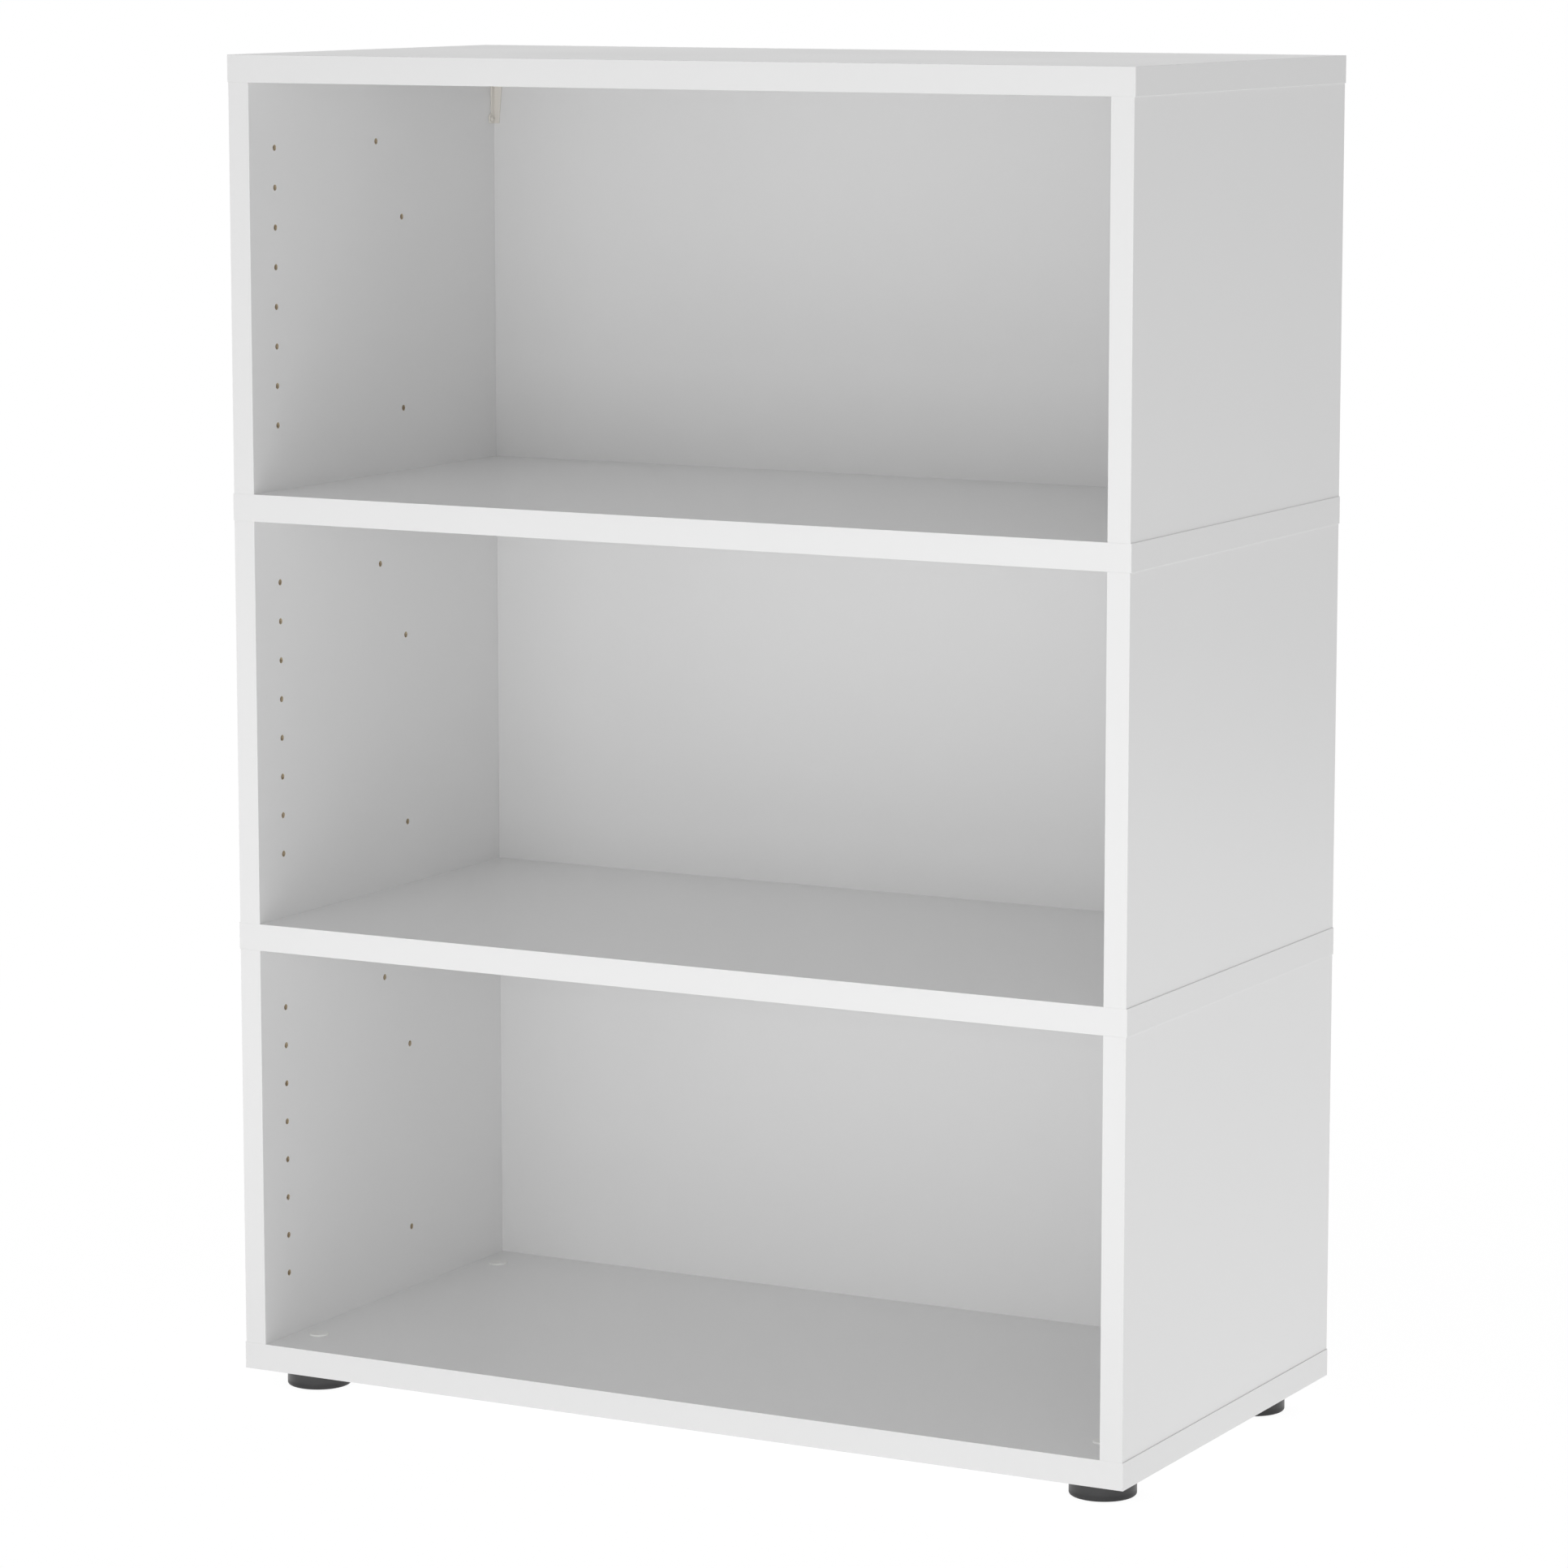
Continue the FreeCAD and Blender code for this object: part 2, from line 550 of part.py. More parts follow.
def make_sleeve(corner, across, back):
    """A foot's flanged threaded sleeve, pressed into the bottom board from below."""
    body = new_body(f"{corner}_foot_sleeve")
    flange_low = "(Size.foot_reach - Size.flange_thickness)"
    top = "(Size.foot_reach + Size.sleeve_length)"
    sketch = new_sketch(body, "sleeve_profile", "XZ_Plane")
    outline(sketch, [
        ("Size.thread_radius", flange_low),
        ("Size.flange_radius", flange_low),
        ("Size.flange_radius", "Size.foot_reach"),
        ("Size.sleeve_radius", "Size.foot_reach"),
        ("Size.sleeve_radius", top),
        ("Size.thread_radius", top),
    ])
    revolve(body, "sleeve", sketch)
    place(body, across, back)


def make_cap(corner, across, back):
    """The push-in cap over a foot's key hole, with a hollow slotted stem."""
    body = new_body(f"{corner}_foot_cap")
    stem = f"({FOOT_HOLE} - Size.cap_stem_gap)"
    hollow = f"({stem} - Size.cap_stem_wall)"
    sketch = new_sketch(body, "cap_profile", "XZ_Plane")
    outline(sketch, [
        ("0", "0"),
        (hollow, "0"),
        (hollow, "-Size.cap_stem_length"),
        (stem, "-Size.cap_stem_length"),
        (stem, "0"),
        ("Size.cap_radius", "0"),
        ("Size.cap_radius", "Size.cap_thickness"),
        ("0", "Size.cap_thickness"),
    ])
    cap = revolve(body, "cap", sketch)
    top = number("Size.cap_thickness")
    round_edges(body, "rounding", cap, "Size.cap_round", lambda box: box.ZMin > top - TINY)
    sketch = new_sketch(body, "slot_outline", "XY_Plane", "-Size.cap_stem_length")
    half_slot = "Size.cap_slot_width / 2"
    rectangle(sketch, f"-{stem}", stem, f"-{half_slot}", half_slot)
    slot = pocket(body, "slot", sketch, "Size.cap_stem_length", along_normal=True)
    slots = body.newObject("PartDesign::PolarPattern", "slots")
    slots.Originals = [slot]
    slots.Axis = (of_origin(body, "Z_Axis"), [""])
    slots.Angle = 90
    slots.Occurrences = 2
    body.Tip = slots
    place(body, across, back, "Size.foot_reach + Size.board_thickness")


def make_bracket(hand, outward):
    """A moulded corner bracket: a tapered plate in front of the back panel, a flange along the side panel
    that widens to an ear at its foot, and a tongue under the top board."""
    body = new_body(f"{hand}_corner_bracket")
    inward = -outward
    to_right = inward > 0
    foot = "-Size.bracket_length"
    ear_top = "(Size.ear_height - Size.bracket_length)"
    sketch = new_sketch(body, "plate_outline", "XZ_Plane")
    outline(sketch, [
        ("0", foot),
        (f"{inward} * Size.bracket_foot_width", foot),
        (f"{inward} * Size.bracket_top_width", "0"),
        ("0", "0"),
    ])
    pad(body, "plate", sketch, "Size.bracket_thickness")

    sketch = new_sketch(body, "tongue_outline", "XY_Plane")
    rectangle(sketch, "0", f"{inward} * Size.tongue_width", "-Size.tongue_reach", "0")
    pad(body, "tongue", sketch, "Size.tongue_thickness", reverse=True)
    sketch = new_sketch(body, "tongue_hole_outline", "XY_Plane")
    circle(sketch, f"{inward} * {TONGUE_SCREW_X}", "-Size.tongue_screw_reach", PILOT_HOLE)
    pocket(body, "tongue_hole", sketch, "Size.tongue_thickness")

    sketch = new_sketch(body, "flange_outline", "YZ_Plane")
    outline(sketch, [
        ("0", "0"),
        ("-Size.flange_reach", "0"),
        ("-Size.flange_reach", ear_top),
        ("-Size.ear_reach", ear_top),
        ("-Size.ear_reach", foot),
        ("0", foot),
    ])
    pad(body, "flange", sketch, "Size.bracket_thickness", reverse=not to_right)
    sketch = new_sketch(body, "ear_hole_outline", "YZ_Plane")
    circle(sketch, "-Size.ear_screw_reach", f"-{EAR_SCREW_DROP}", PILOT_HOLE)
    drilled = pocket(body, "ear_hole", sketch, "Size.bracket_thickness", along_normal=to_right)
    free_end = -number("Size.ear_reach")
    ear_height = number(ear_top)
    round_edges(body, "ear_rounding", drilled, "Size.ear_round",
                lambda box: box.YMax < free_end + TINY and box.ZLength < TINY and box.ZMax < ear_height + TINY)
    place(body, f"{outward} * {INNER_X}", BACK_Y, board_level(len(LEVELS)))


def make_screw(label, axis, across, back, up):
    """A small round-head screw whose shank points along the axis, its head's underside at the place."""
    body = new_body(label)
    sketch = new_sketch(body, "screw_profile", "XZ_Plane")
    outline(sketch, [
        ("0", "-Size.screw_head_height"),
        ("Size.screw_head_radius", "-Size.screw_head_height"),
        ("Size.screw_head_radius", "0"),
        ("Size.screw_radius", "0"),
        ("Size.screw_radius", "(Size.screw_length - Size.screw_point)"),
        ("0", "Size.screw_length"),
    ])
    screw = revolve(body, "screw", sketch)
    crown = -number("Size.screw_head_height")
    round_edges(body, "crown", screw, "Size.screw_head_round", lambda box: box.ZMax < crown + TINY)
    body.Placement.Rotation = FreeCAD.Rotation(FreeCAD.Vector(0, 0, 1), axis)
    place(body, across, back, up)
    return body


def make_bracket_screws():
    """Two screws to each bracket: one up into the top board, one out into the side panel."""
    screws = []
    for hand, outward in HANDS:
        underside = board_level(len(LEVELS))
        screws.append(make_screw(
            f"{hand}_tongue_screw", FreeCAD.Vector(0, 0, 1),
            f"{outward} * ({INNER_X} - {TONGUE_SCREW_X})",
            f"{BACK_Y} - Size.tongue_screw_reach",
            f"{underside} - Size.tongue_thickness"))
        screws.append(make_screw(
            f"{hand}_ear_screw", FreeCAD.Vector(outward, 0, 0),
            f"{outward} * ({INNER_X} - Size.bracket_thickness)",
            f"{BACK_Y} - Size.ear_screw_reach",
            f"{underside} - {EAR_SCREW_DROP}"))
    return group("bracket_screws", screws)


def all_sub_parts():
    """The document's sub-parts: each body or group that is not a member of a group."""
    members = set()
    for item in document.Objects:
        if item.TypeId == "Part::Compound":
            members.update(member.Name for member in item.Links)
    kinds = ("PartDesign::Body", "Part::Compound")
    return [item for item in document.Objects if item.TypeId in kinds and item.Name not in members]


for level in range(len(BOARDS)):
    make_board(level)
    make_board_band(level)
    make_board_dowels(level)
for level in range(len(LEVELS)):
    make_back(level)
    for hand_name, outward_sign in HANDS:
        make_side(level, hand_name, outward_sign)
        make_side_band(level, hand_name, outward_sign)
for end_name, foot_y in (("front", FOOT_FRONT_Y), ("rear", FOOT_REAR_Y)):
    for hand_name, outward_sign in HANDS:
        foot = (f"{end_name}_{hand_name}", f"{outward_sign} * {FOOT_X}", foot_y)
        make_pad(*foot)
        make_spindle(*foot)
        make_sleeve(*foot)
        make_cap(*foot)
for hand_name, outward_sign in HANDS:
    make_bracket(hand_name, outward_sign)
make_bracket_screws()
document.recompute()

for item in document.Objects:
    if "Invalid" in item.State or "Error" in item.State:
        raise RuntimeError(f"{item.Label} did not build: {item.State}")
sub_parts = all_sub_parts()
for item in sub_parts:
    if item.Shape.isNull() or not item.Shape.isValid() or not item.Shape.Solids:
        raise RuntimeError(f"{item.Label} has no valid solid")

os.makedirs("parts", exist_ok=True)
for item in sub_parts:
    item.Shape.exportStep(f"parts/{item.Label}.step")
    print(f"{item.Label}: {len(item.Shape.Solids)} solids, {item.Shape.Volume / 1000:.1f} cm3")
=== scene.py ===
import math

import bmesh
import bpy
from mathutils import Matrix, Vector


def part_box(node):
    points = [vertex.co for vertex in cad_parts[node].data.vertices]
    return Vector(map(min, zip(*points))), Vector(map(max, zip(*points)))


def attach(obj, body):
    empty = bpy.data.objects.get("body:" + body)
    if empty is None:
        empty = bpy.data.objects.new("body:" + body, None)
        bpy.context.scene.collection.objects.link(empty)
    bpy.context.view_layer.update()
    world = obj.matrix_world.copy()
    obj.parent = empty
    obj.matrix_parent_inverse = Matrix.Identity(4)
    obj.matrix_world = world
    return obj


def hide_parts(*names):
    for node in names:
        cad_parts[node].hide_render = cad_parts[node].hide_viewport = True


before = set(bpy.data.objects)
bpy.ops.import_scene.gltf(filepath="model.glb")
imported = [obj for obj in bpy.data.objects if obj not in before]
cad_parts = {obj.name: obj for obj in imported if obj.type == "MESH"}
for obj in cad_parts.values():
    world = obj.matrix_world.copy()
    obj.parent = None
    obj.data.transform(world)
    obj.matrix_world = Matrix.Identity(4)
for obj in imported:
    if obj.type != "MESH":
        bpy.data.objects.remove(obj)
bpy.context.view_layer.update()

# Finishes and small hardware for an open white bookcase of three compartments, in metres.
# The boards and panels come from the frame and only get their finishes here. The threaded foot
# spindles, the fluted dowels, the bracket screws and the moulded brackets are built in their place.

bl_info = {
    "name": "Open bookcase finishes",
    "version": (1, 0, 0),
    "blender": (4, 5, 0),
    "location": "View3D > Sidebar > Bookcase",
    "description": "Finishes, small hardware and studio for an open white bookcase",
    "category": "Object",
}

BOARDS = ("bottom_board", "lower_shelf_board", "upper_shelf_board", "top_board")
LEVELS = ("lower", "middle", "upper")
HANDS = ("left", "right")
SIDES = tuple(f"{level}_{hand}_side" for level in LEVELS for hand in HANDS)
CORNERS = tuple(f"{end}_{hand}" for end in ("front", "rear") for hand in HANDS)
MILLIMETRE = 0.001

# Patterns, in cycles to a metre, along X, Y and Z where there are three numbers.
BROAD_CLOUDS = 7.0
ZINC_CLOUDS = 420.0
ZINC_SPECKS = 3000.0
FLOOR_CLOUDS = 0.6
BEECH_GRAIN = (900.0, 900.0, 60.0)
BEECH_FLECKS = (1600.0, 1600.0, 300.0)

# The levels that nearly all of a noise lies between, and the shades that a colour is multiplied by.
NOISE_SPAN = (0.3, 0.7)
ZINC_SHADE = (0.72, 0.72, 0.74, 1.0)
BEECH_SHADE = (0.62, 0.52, 0.45, 1.0)

# Depths of the relief on plating and on beech.
ZINC_RELIEF = 0.01 * MILLIMETRE
BEECH_RELIEF = 0.04 * MILLIMETRE

# A panel's raw core: its roughness, its relief over the facing's, and a hardboard fibre over a chip.
RAW_ROUGHNESS = 0.9
RAW_RELIEF = 20.0
FIBRE_SHARE = 0.25


def paint(red, green, blue):
    """A colour given as the 0 to 255 values of a paint chart, as linear red, green, blue and alpha."""
    shares = [value / 255 for value in (red, green, blue)]
    linear = [s / 12.92 if s <= 0.04045 else ((s + 0.055) / 1.055) ** 2.4 for s in shares]
    return (*linear, 1.0)


def colour(name, description, red, green, blue):
    """A colour property with its default."""
    return bpy.props.FloatVectorProperty(
        name=name, description=description, subtype="COLOR", size=4, min=0, max=1,
        default=paint(red, green, blue))


def number(name, description, default, **limits):
    """A number property with its default."""
    return bpy.props.FloatProperty(name=name, description=description, default=default, **limits)


def length(name, description, millimetres):
    """A length property, with its default in millimetres."""
    return number(name, description, millimetres * MILLIMETRE, min=0, precision=5, unit="LENGTH",
                  subtype="DISTANCE")


def share(name, description, default):
    """A property that runs from 0 to 1."""
    return number(name, description, default, min=0, max=1, subtype="FACTOR")


def power(name, description, default):
    """A lamp's power in watts."""
    return number(name, description, default, min=0, subtype="POWER")


class BoardSettings(bpy.types.PropertyGroup):
    """Finish of the boards, side panels, back panels and their edge bands."""
    melamine: colour("Melamine", "Colour of the faced boards and side panels", 237, 237, 237)
    melamine_roughness: share("Melamine roughness", "Roughness of the melamine facing", 0.31)
    facing: length("Facing", "Thickness of the melamine facing", 0.15)
    pearl_size: length("Pearl size", "Size of the facing's fine pearl texture", 1.1)
    pearl_depth: length("Pearl depth", "Depth of the facing's fine pearl texture", 0.012)
    band: colour("Edge band", "Colour of the plastic edge bands", 237, 237, 237)
    band_roughness: share("Edge band roughness", "Roughness of the edge bands", 0.34)
    back: colour("Back panel", "Colour of the lacquered back panels", 235, 235, 235)
    back_roughness: share("Back panel roughness", "Roughness of the back panels", 0.42)
    chip_light: colour("Chipboard, light", "Light chips in the raw core", 232, 217, 190)
    chip_dark: colour("Chipboard, dark", "Dark chips in the raw core", 178, 158, 128)
    chip_size: length("Chip size", "Size of the chips in the raw core", 1.6)
    fibre: colour("Hardboard", "Raw fibre at the back panels' edges", 150, 118, 82)


class FootSettings(bpy.types.PropertyGroup):
    """Finish of the screw feet and their caps, and the thread on their spindles."""
    plastic: colour("Pad plastic", "Colour of the moulded foot pads", 42, 42, 43)
    plastic_roughness: share("Pad roughness", "Roughness of the moulded foot pads", 0.46)
    spark_size: length("Spark size", "Size of the eroded mould texture", 0.5)
    cap: colour("Cap plastic", "Colour of the push-in caps", 240, 240, 238)
    cap_roughness: share("Cap roughness", "Roughness of the caps", 0.34)
    zinc: colour("Zinc", "Colour of the plated spindles and sleeves", 198, 202, 206)
    zinc_roughness: share("Zinc roughness", "Roughness of the plating", 0.3)
    thread_pitch: length("Thread pitch", "Rise of a spindle's thread in one turn", 1.5)
    thread_depth: length("Thread depth", "Depth of a spindle's thread", 0.85)
    key_flats: length("Key flats", "Width across a spindle's key socket", 5)
    key_depth: length("Key depth", "Depth of a spindle's key socket", 6)


class FittingSettings(bpy.types.PropertyGroup):
    """Finish of the corner brackets, their screws and the dowels."""
    bracket: colour("Bracket plastic", "Colour of the moulded corner brackets", 231, 227, 220)
    bracket_roughness: share("Bracket roughness", "Roughness of the brackets", 0.4)
    bracket_edge: length("Bracket edge", "Rounding along a bracket's edges", 0.35)
    lacquer: colour("Screw lacquer", "Colour of the lacquered bracket screws", 226, 222, 214)
    lacquer_roughness: share("Lacquer roughness", "Roughness of the bracket screws", 0.32)
    screw_pitch: length("Screw pitch", "Rise of a bracket screw's thread in one turn", 1.3)
    screw_depth: length("Screw thread depth", "Depth of a bracket screw's thread", 0.4)
    beech: colour("Beech", "Colour of the dowels", 214, 176, 130)
    flutes: bpy.props.IntProperty(name="Flutes", description="Flutes round a dowel", default=16, min=6)
    flute_depth: length("Flute depth", "Depth of a dowel's flutes", 0.35)


class StudioSettings(bpy.types.PropertyGroup):
    """Camera, lamps and floor."""
    camera_place: bpy.props.FloatVectorProperty(
        name="Camera", description="Place of the camera", subtype="TRANSLATION", unit="LENGTH",
        default=(2.1642, -4.0433, 1.2044))
    camera_heading: number("Heading", "Camera turned to the left of straight back",
                           math.radians(28.17), subtype="ANGLE")
    camera_pitch: number("Pitch", "Camera tilted down", math.radians(8.62), subtype="ANGLE")
    lens: number("Lens", "Focal length of the camera", 131.07, min=1, unit="CAMERA")
    world_level: number("World level", "Strength of the even light from all round", 0.45, min=0)
    floor_level: power("Floor light", "Power of the light that the whole floor gives", 51.1)
    front_floor_level: power("Front floor light", "Power of the brighter floor in front", 6.6)
    front_level: power("Front lamp", "Power of the low lamp in front", 20.8)
    right_level: power("Right lamp", "Power of the low lamp at the right of the front", 4.7)
    floor: colour("Floor", "Colour of the floor", 243, 243, 243)
    floor_glow: share("Floor glow", "Share of white in what is seen of the floor by the bookcase", 0.84)
    glow_level: number("Glow level", "Strength of that white, which makes up for the rest", 1.104,
                       min=0)
    glow_start: length("Glow start", "Distance at which the floor starts to fade to white", 700)
    glow_end: length("Glow end", "Distance at which the floor has faded to white", 2200)


def settings(name):
    """One of the scene's property groups."""
    return getattr(bpy.context.scene, name)


class Tree:
    """Adds nodes to a node tree, with their inputs joined or set by name."""

    def __init__(self, tree):
        self.tree = tree

    def add(self, kind, inputs=None, **choices):
        node = self.tree.nodes.new(kind)
        for name, value in choices.items():
            setattr(node, name, value)
        for name, value in (inputs or {}).items():
            self.feed(node.inputs[name], value)
        return node

    def feed(self, socket, value):
        """Set a socket, or join it to another one or to a node's first output."""
        if isinstance(value, bpy.types.Node):
            value = value.outputs[0]
        if isinstance(value, bpy.types.NodeSocket):
            self.tree.links.new(value, socket)
        else:
            socket.default_value = value

    def math(self, operation, first, second=None, third=None):
        node = self.add("ShaderNodeMath", operation=operation)
        for socket, value in zip(node.inputs, (first, second, third)):
            if value is not None:
                self.feed(socket, value)
        return node.outputs[0]

    def ramp(self, value, low, high, to_low=0.0, to_high=1.0):
        """A value between two levels brought to another range, and held there outside them."""
        return self.add("ShaderNodeMapRange", {
            "Value": value, "From Min": low, "From Max": high, "To Min": to_low, "To Max": to_high,
        }).outputs["Result"]

    def between(self, factor, first, second):
        """A number between two others, by a factor."""
        node = self.add("ShaderNodeMix", {"Factor": factor}, data_type="FLOAT")
        self.feed(node.inputs["A"], first)
        self.feed(node.inputs["B"], second)
        return node.outputs["Result"]

    def vector(self, x=0.0, y=0.0, z=0.0):
        """A vector from its three parts."""
        return self.add("ShaderNodeCombineXYZ", {"X": x, "Y": y, "Z": z}).outputs["Vector"]

    def noise(self, place, scale, detail, roughness=0.5):
        """A noise between 0 and 1 at a place."""
        return self.add("ShaderNodeTexNoise", {
            "Vector": place, "Scale": scale, "Detail": detail, "Roughness": roughness}).outputs["Fac"]

    def blend(self, factor, first, second, way="MIX"):
        """Two colours blended by a factor."""
        node = self.add("ShaderNodeMix", data_type="RGBA", blend_type=way)
        colours = [socket for socket in node.inputs if socket.type == "RGBA"]
        self.feed(node.inputs["Factor"], factor)
        self.feed(colours[0], first)
        self.feed(colours[1], second)
        return next(socket for socket in node.outputs if socket.type == "RGBA")


def new_group(name, kind, inputs, outputs):
    """A new node group with named sockets: a Tree over it, what it is given and its results."""
    group = bpy.data.node_groups.new(name, kind)
    for way, sockets in (("INPUT", inputs), ("OUTPUT", outputs)):
        for label, sort, *default in sockets:
            socket = group.interface.new_socket(
                name=label, in_out=way, socket_type=f"NodeSocket{sort}")
            if default:
                socket.default_value = default[0]
    tree = Tree(group)
    return tree, tree.add("NodeGroupInput").outputs, tree.add("NodeGroupOutput").inputs


def kept_group(name, make):
    """The node group of that name, made on first use."""
    if name not in bpy.data.node_groups:
        make(name)
    return bpy.data.node_groups[name]


# Effects that several finishes share.

def make_facing_mask(name):
    """Where a faced panel shows its facing: near either face, measured from the panel's middle."""
    tree, given, result = new_group(name, "ShaderNodeTree", [
        ("Depth", "Float", 0.0),
        ("Middle", "Float", 0.0),
        ("Pitch", "Float", 1.0),
        ("Reach", "Float", 0.01),
    ], [("Facing", "Float")])
    half_pitch = tree.math("MULTIPLY", given["Pitch"], 0.5)
    from_middle = tree.math("SUBTRACT", given["Depth"], given["Middle"])
    wrapped = tree.math("WRAP", from_middle, half_pitch, tree.math("MULTIPLY", half_pitch, -1.0))
    out = tree.math("ABSOLUTE", wrapped)
    tree.feed(result["Facing"], tree.math("GREATER_THAN", out, given["Reach"]))


def make_fine_texture(name):
    """A fine pearl or spark texture: its height, a faint change of shade, and a change of gloss."""
    tree, given, result = new_group(name, "ShaderNodeTree", [
        ("Vector", "Vector"),
        ("Size", "Float", 0.001),
        ("Shade Range", "Float", 0.02),
        ("Roughness", "Float", 0.4),
        ("Roughness Range", "Float", 0.08),
    ], [
        ("Height", "Float"),
        ("Shade", "Float"),
        ("Roughness", "Float"),
    ])
    grains = tree.math("DIVIDE", 1.0, given["Size"])
    fine = tree.noise(given["Vector"], grains, 2.0, 0.55)
    broad = tree.noise(given["Vector"], BROAD_CLOUDS, 3.0)
    half_shade = tree.math("MULTIPLY", given["Shade Range"], 0.5)
    darkest = tree.math("SUBTRACT", 1.0, half_shade)
    lightest = tree.math("ADD", 1.0, half_shade)
    tree.feed(result["Height"], fine)
    tree.feed(result["Shade"], tree.ramp(broad, *NOISE_SPAN, darkest, lightest))
    spread = tree.math("MULTIPLY", tree.ramp(broad, *NOISE_SPAN, -0.5, 0.5), given["Roughness Range"])
    tree.feed(result["Roughness"], tree.math("ADD", given["Roughness"], spread))


def make_chipboard(name):
    """The raw core of a board: pressed wood chips of mixed tones."""
    tree, given, result = new_group(name, "ShaderNodeTree", [
        ("Vector", "Vector"),
        ("Chip Size", "Float", 0.002),
        ("Light", "Color"),
        ("Dark", "Color"),
    ], [("Color", "Color"), ("Height", "Float")])
    chips = tree.add("ShaderNodeTexVoronoi", {
        "Vector": given["Vector"], "Scale": tree.math("DIVIDE", 1.0, given["Chip Size"])})
    separate = tree.add("ShaderNodeSeparateColor", {"Color": chips.outputs["Color"]})
    dust = tree.noise(given["Vector"], tree.math("DIVIDE", 3.0, given["Chip Size"]), 3.0)
    chip_share = tree.math("MULTIPLY", separate.outputs["Red"], 0.7)
    mixed = tree.math("MULTIPLY_ADD", dust, 0.6, chip_share)
    tree.feed(result["Color"], tree.blend(tree.ramp(mixed, 0.2, 1.0), given["Dark"], given["Light"]))
    tree.feed(result["Height"], mixed)


def make_plating(name):
    """Zinc plating: cloudy shade, fine specks and a change of gloss."""
    tree, given, result = new_group(name, "ShaderNodeTree", [
        ("Vector", "Vector"),
        ("Color", "Color"),
        ("Roughness", "Float", 0.3),
    ], [("Color", "Color"), ("Roughness", "Float"), ("Height", "Float")])
    cloudy = tree.ramp(tree.noise(given["Vector"], ZINC_CLOUDS, 4.0, 0.6), 0.35, 0.65)
    darker = tree.blend(1.0, given["Color"], ZINC_SHADE, "MULTIPLY")
    tree.feed(result["Color"], tree.blend(cloudy, given["Color"], darker))
    tree.feed(result["Roughness"], tree.math("MULTIPLY_ADD", cloudy, 0.12, given["Roughness"]))
    tree.feed(result["Height"], tree.noise(given["Vector"], ZINC_SPECKS, 2.0))


def new_finish(name):
    """A material with its Principled shader, and a Tree over its nodes."""
    material = bpy.data.materials.new(name)
    material.use_nodes = True
    shader = material.node_tree.nodes["Principled BSDF"]
    return material, Tree(material.node_tree), shader


def place_of(tree):
    """Object coordinates."""
    return tree.add("ShaderNodeTexCoord").outputs["Object"]


def grouped(tree, name, make, inputs):
    """One of the shared effects, placed in a material with its own values."""
    node = tree.add("ShaderNodeGroup", node_tree=kept_group(name, make))
    for label, value in inputs.items():
        tree.feed(node.inputs[label], value)
    return node.outputs


def shaded(tree, base, shade):
    """A colour times a grey shade."""
    grey = tree.add("ShaderNodeCombineColor", {"Red": shade, "Green": shade, "Blue": shade})
    return tree.blend(1.0, base, grey, "MULTIPLY")


def seen(tree):
    """1 for what is seen, straight, in a reflection or through glass, and 0 for plain light."""
    rays = tree.add("ShaderNodeLightPath").outputs
    mirrored = tree.math("MAXIMUM", rays["Is Glossy Ray"], rays["Is Transmission Ray"])
    return tree.math("MAXIMUM", rays["Is Camera Ray"], mirrored)


def surface(tree, shader, base, roughness, height, depth):
    """Join a finish's colour, roughness and relief to its shader."""
    relief = tree.add("ShaderNodeBump", {"Height": height, "Distance": depth, "Strength": 1.0})
    tree.feed(shader.inputs["Base Color"], base)
    tree.feed(shader.inputs["Roughness"], roughness)
    tree.feed(shader.inputs["Normal"], relief)


def panel_finish(name, node, axis, pitch=1.0, both_hands=False, back=False):
    """A faced panel, from one node of its kind: facing on its two faces, raw core elsewhere."""
    given = settings("bookcase_boards")
    low, high = (corner["XYZ".index(axis)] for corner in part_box(node))
    material, tree, shader = new_finish(name)
    place = place_of(tree)
    depth = tree.add("ShaderNodeSeparateXYZ", {"Vector": place}).outputs[axis]
    if both_hands:
        depth = tree.math("ABSOLUTE", depth)
    facing = grouped(tree, "facing_mask", make_facing_mask, {
        "Depth": depth, "Middle": (low + high) / 2, "Pitch": pitch,
        "Reach": (high - low) / 2 - given.facing})["Facing"]
    smooth = grouped(tree, "fine_texture", make_fine_texture, {
        "Vector": place, "Size": given.pearl_size, "Shade Range": 0.012,
        "Roughness": given.back_roughness if back else given.melamine_roughness,
        "Roughness Range": 0.05})
    raw = grouped(tree, "chipboard", make_chipboard, {
        "Vector": place, "Chip Size": given.chip_size * (FIBRE_SHARE if back else 1.0),
        "Light": given.fibre if back else given.chip_light,
        "Dark": given.chip_dark})
    face = shaded(tree, given.back if back else given.melamine, smooth["Shade"])
    base = tree.blend(facing, raw["Color"], face)
    roughness = tree.ramp(facing, 0.0, 1.0, RAW_ROUGHNESS, smooth["Roughness"])
    raw_height = tree.math("MULTIPLY", raw["Height"], RAW_RELIEF)
    facing_height = tree.math("MULTIPLY", smooth["Height"], facing)
    raw_share = tree.math("MULTIPLY", raw_height, tree.math("SUBTRACT", 1.0, facing))
    height = tree.math("ADD", facing_height, raw_share)
    surface(tree, shader, base, roughness, height, given.pearl_depth)
    return material


def moulded_finish(name, base, roughness, size, depth, shade_range=0.03, roughness_range=0.08):
    """A moulded or extruded plastic with a fine texture."""
    material, tree, shader = new_finish(name)
    texture = grouped(tree, "fine_texture", make_fine_texture, {
        "Vector": place_of(tree), "Size": size, "Shade Range": shade_range,
        "Roughness": roughness, "Roughness Range": roughness_range})
    base = shaded(tree, base, texture["Shade"])
    surface(tree, shader, base, texture["Roughness"], texture["Height"], depth)
    return material


